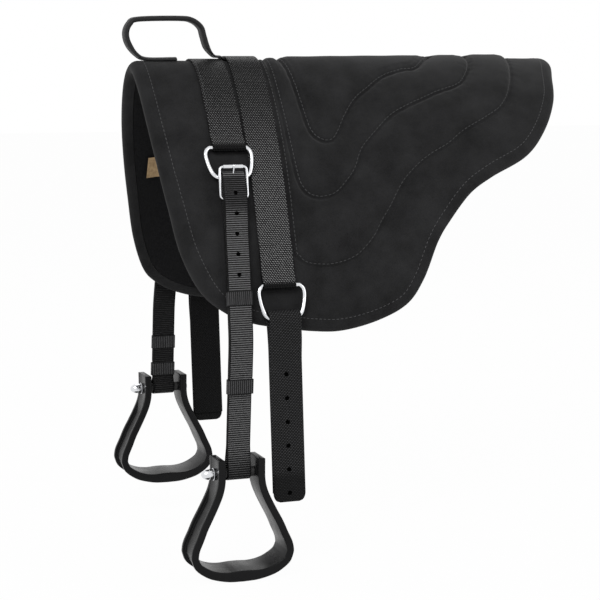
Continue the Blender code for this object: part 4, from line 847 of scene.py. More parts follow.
for which, x, bar_arc, lift in (("front", FRONT_WEB_X, FRONT_BAR_ARC, 0.0),
                                ("rear", REAR_WEB_X, REAR_BAR_ARC, HANDLE_FOOT_LIFT)):
    half, closed = web_path(bar_arc, x, lift)
    whole = np.vstack([half[:0:-1] * [-1, 1], half])
    closed = np.concatenate([closed[:0:-1], closed])
    web = strap_piece(f"{which}_twill_web", whole, WEB_WIDTH, WEB_THICKNESS, x, 1, web_weave,
                      closed)
    dress(web, PAD_BODY, "webbing", f"{which}_rigging_web")


# %% Stitch row on the front web
ROW_INSET, ROW_START, ROW_END, AHEAD_STEP = 0.0035, 0.02, 0.06075, 0.002


def web_spots(more_arc, more_height):
    """Places along the web's front edge, from near the ridge to the dee bar, both sides."""
    arcs = np.arange(ROW_START, FRONT_BAR_ARC - ROW_END, STITCH_PITCH) + more_arc
    row_x = np.full(len(arcs), FRONT_WEB_X - WEB_WIDTH / 2 + ROW_INSET)
    top = WEB_LIFT + WEB_THICKNESS - SUNK + more_height
    return np.vstack([drape(row_x, side * arcs, top) for side in SIDES.values()])


here = web_spots(0, 0)
stitches("front_web_stitches", here, web_spots(AHEAD_STEP, 0) - here, web_spots(0, UP_STEP) - here)

# %% [markdown]
# The stirrup strap is one unbroken length. It is sewn round the buckle's hinge bar, runs
# down and round the stirrup's sleeve, comes back up, goes over the dee and leaves through
# the buckle as a free tail. Drawing it as one path keeps every layer at its real place.
# %% Places on one side's strap
STRAP_WIDTH, STRAP_THICKNESS, LAYER_GAP, STRAP_STANDOFF = 0.03175, 0.0024, 0.0004, 0.0026
STRAP_LEAVES_ARC, STRAP_BEND_UP, BEND_LENGTH = 0.330, PAD_THICKNESS - 0.342, 0.028
ROLLER_DROP, ROLLER_HEIGHT, ROLLER_DIAMETER, ROLLER_BORE = 0.031, 0.009, 0.0054, 0.0041
HINGE_BAR_DROP, BUCKLE_WIRE, TONGUE_WIRE = 0.070, 0.0034, 0.0024
SEWN_START, SEWN_END, TAIL_SETTLES, RUN_START = 0.084, 0.100, 0.116, 0.086
KEEPER_HEIGHT, KEEPER_WALL, KEEPER_GAP = 0.019, 0.0010, 0.0002
SLEEVE_DIAMETER, TIP_LENGTH, TIP_POINTS, HOLE_PITCH = 0.013, 0.014, 12, 0.0258
EYE_GAP, HINGE_GAP, SLEEVE_GAP, RUN_STEPS, LOOK_AHEAD = 0.0028, 0.00035, 0.0003, 24, 0.002
FRONT_DEE_TILT, REAR_DEE_TILT, STRAP_HANGS_AT = 3.0, 5.5, 0.946
PITCH = STRAP_THICKNESS + LAYER_GAP
EYE_RADIUS = DEE_WIRE / 2 + EYE_GAP + STRAP_THICKNESS / 2
WRAP_RADIUS = BUCKLE_WIRE / 2 + HINGE_GAP + STRAP_THICKNESS / 2
LOOP_RADIUS = SLEEVE_DIAMETER / 2 + SLEEVE_GAP + STRAP_THICKNESS / 2
INNER_LAYER = STRAP_STANDOFF + STRAP_THICKNESS / 2
# For each side: middle along the pad, lean forward, end of the plumb run over the bolt, the
# bolt's drop, and the drops of the upper and the lower keeper
STRAP_SIDES = {"left": (-0.207, 0.031, 0.035, 0.527, 0.293, 0.405),
               "right": (-0.2075, 0.030, 0.015, 0.478, 0.401, 0.441)}


def frame_at(x, bar_arc, tilt_deg):
    """Bar's place, direction down the dee and direction off the pad, in the upright plane."""
    angle = slope_at(x, bar_arc + DEE_DROP / 2) - math.radians(tilt_deg)
    down = np.array([math.cos(angle), -math.sin(angle)])
    return section(x, bar_arc, BAR_HEIGHT), down, left_of(down)


def local(frame, drop, lift):
    """Place plus drop down the dee plus lift off the pad."""
    return frame[0] + frame[1] * drop + frame[2] * lift


def hang_down(start, slope, bend_up, end_up, steps=14):
    """Straight down a slope to a height, a smooth bend until plumb, then plumb to the end."""
    down = np.array([math.cos(slope), -math.sin(slope)])
    bend = start + down * (start[1] - bend_up) / math.sin(slope)
    angles = slope + (np.pi / 2 - slope) * (np.arange(steps) + 0.5) / steps
    turn = np.stack([np.cos(angles), -np.sin(angles)], 1) * BEND_LENGTH / steps
    turn = np.cumsum(turn, 0) + bend
    straight = start + (bend - start) * np.linspace(0, 1, RUN_STEPS)[1:, None]
    plumb = np.linspace(turn[-1], [turn[-1, 0], end_up], RUN_STEPS + 1)[1:]
    return np.vstack([straight, turn, plumb])


class StrapPlaces:
    """Where one side's strap, buckle, keepers and stirrup are."""

    def __init__(self, side_name):
        self.side = SIDES[side_name]
        self.x, self.lean, self.spread, *drops = STRAP_SIDES[side_name]
        self.bolt_up, upper, lower = (PAD_THICKNESS - drop for drop in drops)
        self.keepers = {"upper": upper, "lower": lower}
        self.frame = frame_at(self.x, FRONT_BAR_ARC, FRONT_DEE_TILT)
        self.loop = local(self.frame, DEE_DROP * STRAP_HANGS_AT, 0)
        hinge_out = self.normal(HINGE_BAR_DROP) * (PITCH + WRAP_RADIUS)
        self.hinge = self.layer(HINGE_BAR_DROP, 0) + hinge_out
        self.roller = local(self.frame, ROLLER_DROP, ROLLER_HEIGHT)
        arcs = np.linspace(RUN_START, STRAP_LEAVES_ARC - FRONT_BAR_ARC, RUN_STEPS)
        start = np.array([self.layer(arc, 0) for arc in arcs])
        slope = slope_at(self.x, STRAP_LEAVES_ARC)
        below = hang_down(start[-1], slope, STRAP_BEND_UP, self.bolt_up + self.spread)
        self.run = np.vstack([start, below])
        self.bolt = np.array([self.run[-1, 0] + PITCH / 2, self.bolt_up])
        self.tip_up = self.keepers["lower"] - KEEPER_HEIGHT / 2

    def x_at(self, up):
        """Middle of the strap at a height: it hangs a little forward of its dee."""
        return self.x - self.lean * (self.loop[1] - np.asarray(up))

    def world(self, points, across=0.0):
        """World places of upright-plane points, moved across along the pad."""
        points = np.asarray(points, dtype=float)
        out, up = points[..., 0], points[..., 1]
        return np.stack([self.x_at(up) + across, self.side * out, up], -1)

    def layer(self, drop, number):
        """Middle of a layer of webbing at an arc below the dee's bar."""
        return section(self.x, FRONT_BAR_ARC + drop, INNER_LAYER + number * PITCH)

    def normal(self, drop):
        """Outward direction of the pad at an arc below the dee's bar."""
        angle = slope_at(self.x, FRONT_BAR_ARC + drop)
        return np.array([math.sin(angle), math.cos(angle)])

    def on_run(self, up, number):
        """Middle of a layer at a height on the run, and the direction down it there."""
        return spot_on(sideways(self.run, number * PITCH)[::-1], up)


def spot_on(rising, up):
    """Place at a height on a path that is given from its low end, and the way down there."""
    spot, ahead = (np.array([np.interp(high, rising[:, 1], rising[:, 0]), high])
                   for high in (up, up - LOOK_AHEAD))
    return spot, unit(ahead - spot)


places = {name: StrapPlaces(name) for name in SIDES}
print("strap loops hang at", [round(float(p.bolt_up), 3) for p in places.values()], "m")


# %% Stirrup straps
TIP_NARROWEST, TIP_CLEAR, STRAP_SHADE = 0.3, 0.001, 0.6
SEWN_POINTS, SLEEVE_STEPS, EYE_STEPS, SETTLE_STEPS = 5, 36, 18, 30
# Past the dee the tail lies flat in the buckle, and near the bolt it lies flat on the sleeve
BUCKLED_FROM, BUCKLED_FADE, WRAPPED_FROM, WRAPPED_FADE = 0.030, 0.030, 0.010, 0.010


def around_sleeve(strap):
    """Arc round the underside of the sleeve from the outer layer to the inner one."""
    reach = math.hypot(strap.spread, PITCH / 2)
    start = math.degrees(math.atan2(strap.spread, PITCH / 2) - math.acos(LOOP_RADIUS / reach))
    return arc_points(strap.bolt, LOOP_RADIUS, start, -180 - start, SLEEVE_STEPS)


def strap_path(strap):
    """The whole path in order: sewn end, hinge bar, down, sleeve, up, dee, tail."""
    out_deg = math.degrees(math.atan2(strap.frame[2][1], strap.frame[2][0]))
    hinge_out = off_pad_deg(slope_at(strap.x, FRONT_BAR_ARC + HINGE_BAR_DROP))
    path = [strap.layer(arc, 2) for arc in np.linspace(SEWN_END, SEWN_START, SEWN_POINTS)]
    path += list(arc_points(strap.hinge, WRAP_RADIUS, hinge_out, hinge_out + 180, WRAP_STEPS))
    path += [*sideways(strap.run, PITCH), *around_sleeve(strap), *strap.run[::-1]]
    path += list(arc_points(strap.loop, EYE_RADIUS, out_deg + 180, out_deg, EYE_STEPS))
    tail_start = len(path)
    over = strap.hinge + strap.normal(HINGE_BAR_DROP) * (WRAP_RADIUS + PITCH)
    settle = [over, strap.layer(SEWN_END, 3), strap.layer(TAIL_SETTLES, 2)]
    tail = sideways(strap.run, 2 * PITCH)
    above_tip = tail[:, 1] > strap.tip_up + TIP_LENGTH + TIP_CLEAR
    tail = tail[(tail[:, 1] < settle[-1][1] - STRAP_WIDTH) & above_tip]
    settled = smooth(np.vstack([path[-1:], settle, tail[:1]]), SETTLE_STEPS)
    path += [*settled[1:-1], *tail]
    heights = strap.tip_up + TIP_LENGTH * np.linspace(1, 0, TIP_POINTS)
    return np.vstack([path, [strap.on_run(up, 2)[0] for up in heights]]), tail_start


def make_stirrup_strap(side_name, strap):
    """The strap's ribbon; its tip narrows as a half ellipse."""
    path, tail_start = strap_path(strap)
    width = np.full(len(path), STRAP_WIDTH)
    width[-TIP_POINTS:] *= round_tip(np.linspace(0, 1, TIP_POINTS), TIP_NARROWEST)
    past = gone(path) - gone(path)[tail_start]
    buckled = (past >= 0) * (1 - smoothstep((past - BUCKLED_FROM) / BUCKLED_FADE))
    above = path[:, 1] - strap.bolt_up
    wrapped = 1 - smoothstep((above - WRAPPED_FROM) / WRAPPED_FADE)
    piece = strap_piece(f"{side_name}_ribbed_strap", path, width, STRAP_THICKNESS,
                        strap.x_at(path[:, 1]), strap.side, strap_weave,
                        STRAP_SHADE * np.maximum(buckled, wrapped))
    dress(piece, f"{side_name}_stirrup_strap", "webbing", f"{side_name}_stirrup_strap")


for side_name, strap in places.items():
    make_stirrup_strap(side_name, strap)


# %% [markdown]
# Holes in webbing are burned or punched and get a raised ring, so each hole is a thin
# lipped ring round a dark disc that lies on the strap. The disc is painted shade for the hole's
# inside.
# %% Holes of the strap
HOLE_RADIUS, PIN_RADIUS, HOLE_SIDES, HOLE_SHARP_DEG = 0.0021, 0.000042, 20, 50
STRAP_LIP, LATIGO_LIP = 0.0007, 0.0009
DISC_HEIGHT, LIP_HEIGHT, CREST_HEIGHT, SKIRT_HEIGHT, HOLE_ROOT = 5e-5, 12e-5, 15e-5, 1e-4, -4e-4
FIRST_HOLE_UP, STRAP_HOLES = -0.1490, 5


def eyelets(name, centres, outward, lip, body, slot_name):
    """Lipped rings: a low rounded profile turned round each centre, with a disc of painted shade in
    the middle.
    """
    rim = HOLE_RADIUS + lip
    profile = [(PIN_RADIUS, DISC_HEIGHT), (HOLE_RADIUS, DISC_HEIGHT),
               (HOLE_RADIUS + lip * 0.2, LIP_HEIGHT), (HOLE_RADIUS + lip * 0.6, CREST_HEIGHT),
               (rim, SKIRT_HEIGHT), (rim, HOLE_ROOT), (PIN_RADIUS, HOLE_ROOT)]
    radius, rise = np.array(profile).T[..., None, None]
    centres, outward = np.array(centres), np.array(outward)
    first = unit(np.cross(outward, (1.0, 0, 0)))
    hoop = circle(first, np.cross(outward, first), HOLE_SIDES)[:, None]
    grids = centres[:, None, None] + hoop * radius + outward[:, None, None] * rise
    dress(copies_piece(name, grids, dark_lip_hole_shade, HOLE_SHARP_DEG), body, slot_name)


for side_name, strap in places.items():
    centres, outward = [], []
    path, tail_start = strap_path(strap)
    for up in FIRST_HOLE_UP - HOLE_PITCH * np.arange(STRAP_HOLES):
        spot, down = spot_on(path[tail_start:][::-1], up)
        out = left_of(down)
        centres.append(strap.world(spot + out * STRAP_THICKNESS / 2))
        outward.append([0.0, strap.side * out[0], out[1]])
    eyelets(f"{side_name}_strap_eyelets", centres, outward, STRAP_LIP,
            f"{side_name}_stirrup_strap", "webbing")


# %% Latigo sizes and path
LATIGO_WIDTH, LATIGO_THICKNESS, REAR_DEE_X, LATIGO_LEAN = 0.04445, 0.0026, -0.154, 0.03
LATIGO_GAP = 0.0037
LATIGO_RADIUS = DEE_WIRE / 2 + LATIGO_GAP + LATIGO_THICKNESS / 2
LATIGO_PITCH = LATIGO_THICKNESS + LAYER_GAP
LATIGO_BEND_UP, LATIGO_HANGS_AT = PAD_THICKNESS - 0.345, 0.93
LATIGO_TIP, LATIGO_TIP_POINTS = 0.012, 8
LATIGO_DROPS = {"left": 0.572, "right": 0.532}
# Below the dee: where the front layer comes in beside the back one, and where it lies on it
JOINS_AT, LIES_AT, JOINS_SHARE, JOINS_OUT, LIES_OUT = 0.052, 0.064, 0.58, 0.0006, 0.0002
TIP_BLUNT, SINGED_SHADE, SINGED_UP, SINGED_FADE = 0.62, 0.55, 0.030, 0.014
LOOP_NARROWING, NARROW_BELOW, NARROW_OVER = 0.02, 0.03, 0.02
EYELETS, EYELET_FOOT, EYELET_PITCH = 7, 0.012, 0.0315
BEND_STEPS, BOW_STEPS, COMES_IN_STEPS, TAIL_STEPS = 10, 20, 16, 40
rear_frame = frame_at(REAR_DEE_X, REAR_BAR_ARC, REAR_DEE_TILT)
latigo_loop = local(rear_frame, DEE_DROP * LATIGO_HANGS_AT, 0)


def latigo_x(up):
    """The latigo leans a little back as it hangs."""
    return REAR_DEE_X + LATIGO_LEAN * (latigo_loop[1] - np.asarray(up))


def make_latigo(side_name):
    """Back layer up, over the dee's bow, and the front layer down to a blunt tip."""
    bottom = PAD_THICKNESS - LATIGO_DROPS[side_name]
    tip_top = bottom + LATIGO_TIP
    slope = math.atan2(-rear_frame[1][1], rear_frame[1][0])
    start = latigo_loop - rear_frame[2] * LATIGO_RADIUS
    back = np.vstack([start, hang_down(start, slope, LATIGO_BEND_UP, tip_top, BEND_STEPS)])
    hangs = back[-1, 0] + LATIGO_PITCH
    out_deg = off_pad_deg(slope)
    over = arc_points(latigo_loop, LATIGO_RADIUS, out_deg + 180, out_deg, BOW_STEPS)
    joins = np.array([[hangs + LIES_OUT, latigo_loop[1] - JOINS_AT],
                      [hangs, latigo_loop[1] - LIES_AT]])
    comes_in = over[-1] * (1 - JOINS_SHARE) + joins[0] * JOINS_SHARE + [JOINS_OUT, 0]
    eased = smooth(np.vstack([over[-1:], [comes_in], joins]), COMES_IN_STEPS)[1:]
    tail = np.linspace(joins[-1], [hangs, tip_top], TAIL_STEPS + 1)[1:]
    tip = np.linspace([hangs, tip_top], [hangs, bottom], LATIGO_TIP_POINTS + 1)[1:]
    path = np.vstack([back[::-1], over[1:], eased, tail, tip])
    width = np.full(len(path), LATIGO_WIDTH)
    tip_shares = np.linspace(0, 1, LATIGO_TIP_POINTS + 1)[1:]
    width[-LATIGO_TIP_POINTS:] *= round_tip(tip_shares, TIP_BLUNT)
    near_loop = smoothstep((path[:, 1] - latigo_loop[1] + NARROW_BELOW) / NARROW_OVER)
    singed = 1 - smoothstep((path[:, 1] - bottom - SINGED_UP) / SINGED_FADE)
    piece = strap_piece(f"{side_name}_nylon_latigo", path, width * (1 - LOOP_NARROWING * near_loop),
                        LATIGO_THICKNESS, latigo_x(path[:, 1]), SIDES[side_name], latigo_weave,
                        SINGED_SHADE * singed)
    dress(piece, f"{side_name}_latigo", "latigo_web", f"{side_name}_latigo")
    return hangs, bottom


for side_name, side in SIDES.items():
    hangs, bottom = make_latigo(side_name)
    ups = bottom + EYELET_FOOT + EYELET_PITCH * np.arange(EYELETS)
    face = np.full(EYELETS, side * (hangs + LATIGO_THICKNESS / 2))
    eyelets(f"{side_name}_latigo_eyelets", np.stack([latigo_x(ups), face, ups], 1),
            [[0.0, side, 0.0]] * EYELETS, LATIGO_LIP, f"{side_name}_latigo", "latigo_web")

# %% [markdown]
# The grab handle is a stuffed strap. Its path is a smooth curve through chosen points in
# the upright plane of the ridge, and its section is a flat band with fully round edges.
# %% Grab handle
HANDLE_WIDTH, HANDLE_THICKNESS, HANDLE_RISE = 0.020, 0.0070, 0.0555
FRONT_FOOT, REAR_FOOT, FEET_UP_TO, FEET_FADE = 0.0046, 0.003, 0.12, 0.24
HANDLE_FRONT_X, HANDLE_REAR_X, HANDLE_PROFILE, HANDLE_STEPS = -0.313, -0.140, 0.5, 150
HANDLE = [
    (0.393, 0.037), (0.16, 0.037), (0.075, 0.162), (0.017, 0.396), (0.0, 0.649), (0.029, 0.865),
    (0.098, 0.973), (0.422, 1.0), (0.526, 0.955), (0.595, 0.793), (0.618, 0.577),
    (0.647, 0.306), (0.70, 0.117), (0.75, 0.09), (0.80, 0.042), (1.0, 0.036),
]


def make_grab_handle():
    """Band section square to the path; its feet are thin and droop with the ridge's flanks."""
    size = [HANDLE_REAR_X - HANDLE_FRONT_X, HANDLE_RISE]
    path = smooth(np.array(HANDLE) * size + [HANDLE_FRONT_X, 0], HANDLE_STEPS)
    full = smoothstep((path[:, 1] / HANDLE_RISE - FEET_UP_TO) / FEET_FADE)
    foot = np.where(np.arange(len(path)) < len(path) / 2, FRONT_FOOT, REAR_FOOT)
    thick = foot + (HANDLE_THICKNESS - foot) * full
    normals = left_of(unit(np.gradient(path, axis=0)))
    profile = band_profile(HANDLE_PROFILE) / [1, HANDLE_PROFILE]
    across = profile[:, 0] * HANDLE_WIDTH
    off = profile[:, 1] * thick[:, None]
    spot = path[:, None] + normals[:, None] * off[..., None]
    droop = drape(spot[..., 0], across, 0.0)[..., 2] - drape(spot[..., 0], 0.0, 0.0)[..., 2]
    up = spot[..., 1] + PAD_THICKNESS + droop * (1 - full)[:, None]
    grid = np.stack([spot[..., 0], np.broadcast_to(across, up.shape), up], -1)
    return grid_piece("stuffed_grab_handle", grid, handle_weave, caps=True,
                      uv=cloth_uv(across, gone(path)))


handle = dress(make_grab_handle(), PAD_BODY, "handle_web", "grab_handle")


# %% Plain patch sewn on the lining
PATCH_LENGTH, PATCH_HEIGHT, PATCH_THICKNESS, PATCH_DROP = 0.035, 0.032, 0.0008, 0.0032
PATCH_X, PATCH_ARC, PATCH_POINTS, EDGE_FROM, EDGE_THINNING = -0.244, 0.185, 21, 0.9, 0.7


def make_lining_patch():
    """Draped rectangle with rounded edges: two sheets and the walls between their rims."""
    side = np.linspace(-1, 1, PATCH_POINTS)
    a, b = np.meshgrid(side, side, indexing="ij")
    edge = np.clip((np.maximum(abs(a), abs(b)) - EDGE_FROM) / (1 - EDGE_FROM), 0, 1)
    out = PATCH_THICKNESS * np.sqrt(1 - EDGE_THINNING * edge ** 2)
    sheets = np.array([drape(PATCH_X + a * PATCH_LENGTH / 2, PATCH_ARC + b * PATCH_HEIGHT / 2,
                             -PAD_THICKNESS - PATCH_DROP - h) for h in (out, 0)])
    high = PATCH_POINTS ** 2
    index = np.arange(high).reshape(PATCH_POINTS, PATCH_POINTS)
    cells = np.stack([index[:-1, :-1], index[:-1, 1:], index[1:, 1:], index[1:, :-1]], -1)
    cells = cells.reshape(-1, 4)
    rim = np.concatenate([index[0], index[1:, -1], index[-1, -2::-1], index[-2:0:-1, 0]])
    after = np.roll(rim, -1)
    walls = np.stack([rim, after, after + high, rim + high], 1)
    faces = np.vstack([cells, cells + high, walls]).tolist()
    return finish_piece("bare_tan_patch", sheets, faces, tan_patch)


dress(make_lining_patch(), PAD_BODY, "patch", "lining_patch")

# %% [markdown]
# Dees, buckle frames and tongues are bent wire. A tube whose frame is carried along a
# smooth closed curve shows no corners, where the solids have a few flat sides.
# %% Wire pieces
DEE_BOW = [
    (0.806, 0.0), (0.952, 0.094), (1.0, 0.247), (0.968, 0.449), (0.903, 0.652),
    (0.806, 0.82), (0.645, 0.926), (0.387, 0.98), (0.0, 1.0),
]
# Where the tongue rests: share of the hinge bar's drop, share of the roller's height
TONGUE_RESTS = ((0.886, 0.11), (0.80, 0.22), (0.65, 0.45), (0.57, 0.70), (0.50, 1.20),
                (0.455, 1.45), (0.425, 1.46))
TONGUE_TIP, TONGUE_RADIUS, TONGUE_GAP = (0.98, 0.92, 0.8, 0.5), 0.42 * TONGUE_WIRE, 0.0003
BUCKLE_GAP, BUCKLE_BEND, ROLLER_GAP, ROLLER_SOFT = 0.0007, 1.3 * BUCKLE_WIRE, 0.0006, 0.0003
DEE_STEPS, BAR_POINTS, BUCKLE_STEPS, CURL_STEPS, REST_STEPS = 84, 18, 120, 20, 40
DEE_SIDES, BUCKLE_SIDES, TONGUE_SIDES, ROLLER_SIDES, BEND_STEPS = 24, 18, 14, 32, 6


def make_wire_dee(name, x, frame, side):
    """Closed curve: the bow, its mirror image, and the straight bar between them."""
    half = np.array(DEE_BOW) * [DEE_HALF_WIDTH, DEE_DROP]
    bow = smooth(np.vstack([half, (half[:-1] * [-1, 1])[::-1]]), DEE_STEPS)
    loop = np.vstack([bow, np.linspace(bow[-1], bow[0], BAR_POINTS + 2)[1:-1]])
    spots = frame[0] + loop[:, 1:] * frame[1]
    wire = np.stack([x + loop[:, 0], side * spots[:, 0], spots[:, 1]], 1)
    piece = tube(f"{name}_chrome", wire, DEE_WIRE / 2, chrome, DEE_SIDES, closed=True)
    dress(piece, name, "chrome", name)


def soft_tube(reach, outer, bore, soft):
    """Profile of a tube from -reach to reach, with its outer edges taken off."""
    return [(-reach, bore), (-reach, outer - soft), (soft - reach, outer), (reach - soft, outer),
            (reach, outer - soft), (reach, bore)]


def make_buckle(side_name, strap):
    """Rounded rectangle of wire from the roller's bar to the hinge bar, tongue and roller."""
    half = STRAP_WIDTH / 2 + BUCKLE_GAP + BUCKLE_WIRE / 2
    step = strap.hinge - strap.roller
    loop = rounded_corners(half, 0, np.linalg.norm(step), BUCKLE_BEND, BEND_STEPS)
    loop = even_loop(loop, BUCKLE_STEPS)
    wire = strap.world(strap.roller + loop[:, 1:] * unit(step), loop[:, 0])
    wire = tube(f"{side_name}_buckle_wire", wire, BUCKLE_WIRE / 2, chrome, BUCKLE_SIDES,
                closed=True)
    eye = BUCKLE_WIRE / 2 + TONGUE_GAP + TONGUE_WIRE / 2
    out_deg = off_pad_deg(slope_at(strap.x, FRONT_BAR_ARC + HINGE_BAR_DROP))
    curl = arc_points(strap.hinge, eye, out_deg + 135, out_deg + 360, CURL_STEPS)
    rests = [local(strap.frame, a * HINGE_BAR_DROP, b * ROLLER_HEIGHT) for a, b in TONGUE_RESTS]
    spots = np.vstack([curl, smooth(np.vstack([curl[-1:], rests]), REST_STEPS)[1:]])
    radius = np.full(len(spots), TONGUE_RADIUS)
    radius[-len(TONGUE_TIP):] *= TONGUE_TIP
    tongue = tube(f"{side_name}_tongue_wire", strap.world(spots), radius, chrome,
                  TONGUE_SIDES)
    profile = soft_tube(half - BUCKLE_BEND - ROLLER_GAP, ROLLER_DIAMETER / 2, ROLLER_BORE / 2,
                        ROLLER_SOFT)
    roller = turned(f"{side_name}_roller_tube", profile, strap.world(strap.roller), chrome,
                    ROLLER_SIDES, closed=True)
    for piece, node, body in ((wire, "buckle_frame", "stirrup_strap"),
                              (tongue, "buckle_tongue", "stirrup_strap"),
                              (roller, "buckle_roller", "buckle_roller")):
        dress(piece, f"{side_name}_{body}", "chrome", f"{side_name}_{node}")


for side_name, strap in places.items():
    make_wire_dee(f"{side_name}_front_dee", strap.x, strap.frame, strap.side)
    make_wire_dee(f"{side_name}_rear_dee", REAR_DEE_X, rear_frame, strap.side)
    make_buckle(side_name, strap)

# %% [markdown]
# A keeper is a short band round the three layers of strap. Its path is a rounded
# rectangle and its section a thin flat band, so its edges are soft where light catches.
# The upper one is woven in ribs that show on its outside.
# %% Keepers
RIB_PITCH, RIB_HEIGHT, KEEPER_STEPS, CORNER_POINTS = 0.0034, 0.00022, 180, 8


def make_keeper(side_name, strap, which):
    """Band carried round a rounded rectangle that stands off the layers by its gap."""
    middle, down = strap.on_run(strap.keepers[which] - KEEPER_HEIGHT / 2, 1)
    off_layers = KEEPER_GAP + KEEPER_WALL / 2
    half_out = PITCH + STRAP_THICKNESS / 2 + off_layers
    loop = even_loop(rounded_corners(STRAP_WIDTH / 2 + off_layers, -half_out, half_out,
                                     KEEPER_WALL, CORNER_POINTS), KEEPER_STEPS)
    normal = -left_of(unit(np.roll(loop, -1, 0) - np.roll(loop, 1, 0)))
    profile = band_profile(KEEPER_WALL / KEEPER_HEIGHT) * KEEPER_HEIGHT
    along = np.arange(KEEPER_STEPS) * gone(shut(loop))[-1] / KEEPER_STEPS
    ribbing = RIB_HEIGHT * (np.sin(along * 2 * np.pi / RIB_PITCH) - 1) * (which == "upper")
    off = profile[:, 1] + ribbing[:, None] * (profile[:, 1] > 0)
    spot = loop[:, None] + normal[:, None] * off[..., None]
    upright = middle + left_of(down) * spot[..., 1:] + down * profile[:, :1]
    name = f"{side_name}_{which}"
    piece = grid_piece(f"{name}_band", strap.world(upright, spot[..., 0]), keeper_weave,
                       along=True, uv=cloth_uv(profile[:, 0], along))
    dress(piece, f"{name}_keeper", "keeper_web", f"{name}_keeper")


for side_name, strap in places.items():
    for which in strap.keepers:
        make_keeper(side_name, strap, which)

# %% [markdown]
# The stirrup is a casting: a channel section that widens from the ears to the tread. So it
# is one rounded section carried along the outline, with its sizes as functions of the drop.
# %% Stirrup sizes and outline
STIRRUP_HALF_WIDTH, STIRRUP_DROP, STIRRUP_WALL, EAR_GAP = 0.069, 0.1385, 0.0094, 0.044
TREAD_THICKNESS, EAR_DEPTH, TREAD_DEPTH, FLANGE, RECESS = 0.0115, 0.042, 0.052, 0.007, 0.004
TREAD_RISE, TREAD_RISE_REACH, TREAD_FROM, EAR_RECESS = 0.0030, 0.038, 0.75, 0.0003
SINKS_FROM, SINKS_OVER, SECTION_CORNER, EDGE_CORNER = 0.12, 0.16, 0.0013, 0.00156
# Rows near an ear's end: how far below it two more lie, and how much the first two draw in
EAR_ROWS, EAR_SHRINK = (0.0004, 0.0012), (0.0012, 0.00042)
STIRRUP = [
    (0.455, -0.149), (0.455, 0.036), (0.493, 0.141), (0.572, 0.238), (0.681, 0.347),
    (0.801, 0.462), (0.881, 0.556), (0.971, 0.657), (1.0, 0.729), (0.991, 0.773),
    (0.922, 0.852), (0.762, 0.917), (0.58, 0.96), (0.29, 0.993), (0.0, 1.0),
]
EAR_FACE = STIRRUP_HALF_WIDTH * STIRRUP[0][0]
STIRRUP_STEPS, CORNER_STEPS, EASE_OVER, CORNER_SHARE = 90, 4, 0.25, 0.45


def rounded_section(corners, radius):
    """Right-angled corners of a closed section, each turned into a quarter circle."""
    before = unit(np.roll(corners, 1, 1) - corners)
    after = unit(np.roll(corners, -1, 1) - corners)
    centre = corners + radius[..., None] * (before + after)
    rounded = [centre - radius[..., None] * (after * math.cos(a) + before * math.sin(a))
               for a in np.linspace(0, np.pi / 2, CORNER_STEPS + 1)]
    return np.stack(rounded, 2).reshape(len(corners), -1, 2)


def make_casting(side_name, centre):
    """Section at each place: flanges, sunk web and flat inner face, all functions of drop."""
    half = smooth(np.array(STIRRUP) * [STIRRUP_HALF_WIDTH, STIRRUP_DROP], STIRRUP_STEPS)
    half = np.vstack([half[0], *(half[0] + [0, low] for low in EAR_ROWS), half[1:]])
    outline = np.vstack([half, (half[:-1] * [-1, 1])[::-1]])
    share = np.clip(outline[:, 1] / STIRRUP_DROP, 0, 1)
    ear = EAR_FACE - EAR_GAP / 2
    wall = ear + (STIRRUP_WALL - ear) * smoothstep(share / EASE_OVER)
    wall += (TREAD_THICKNESS - wall) * smoothstep((share - TREAD_FROM) / EASE_OVER)
    risen = 1 - smoothstep(abs(outline[:, 0]) / TREAD_RISE_REACH)
    wall += TREAD_RISE * risen * (share > TREAD_FROM)
    deep = EAR_DEPTH + (TREAD_DEPTH - EAR_DEPTH) * smoothstep(share)
    sunk = EAR_RECESS + (RECESS - EAR_RECESS) * smoothstep((share - SINKS_FROM) / SINKS_OVER)
    lip, side, zero = deep / 2 - FLANGE, deep / 2, np.zeros_like(deep)
    corners = np.stack([np.stack(pair, 1) for pair in (
        (zero, -side), (zero, -lip), (sunk, -lip), (sunk, lip), (zero, lip), (zero, side),
        (wall, side), (wall, -side))], 1)
    radius = np.tile(np.minimum(SECTION_CORNER, sunk * CORNER_SHARE)[:, None], 8)
    radius[:, [0, 5, 6, 7]] = EDGE_CORNER
    profile = rounded_section(corners, radius)
    shrink = np.zeros(len(outline))
    shrink[:2] = shrink[:-3:-1] = EAR_SHRINK
    depth_in = np.clip(profile[..., 0], shrink[:, None], (wall - shrink)[:, None])
    limit = (side - shrink)[:, None]
    y = np.clip(profile[..., 1], -limit, limit)
    inward = sideways(outline, 1.0) - outline
    spot = outline[:, None] + inward[:, None] * depth_in[..., None]
    grid = centre + np.stack([spot[..., 0], y, -spot[..., 1]], -1)
    piece = grid_piece(f"{side_name}_cast_stirrup", grid, casting, caps=True)
    dress(piece, f"{side_name}_stirrup", "cast_black", f"{side_name}_stirrup")


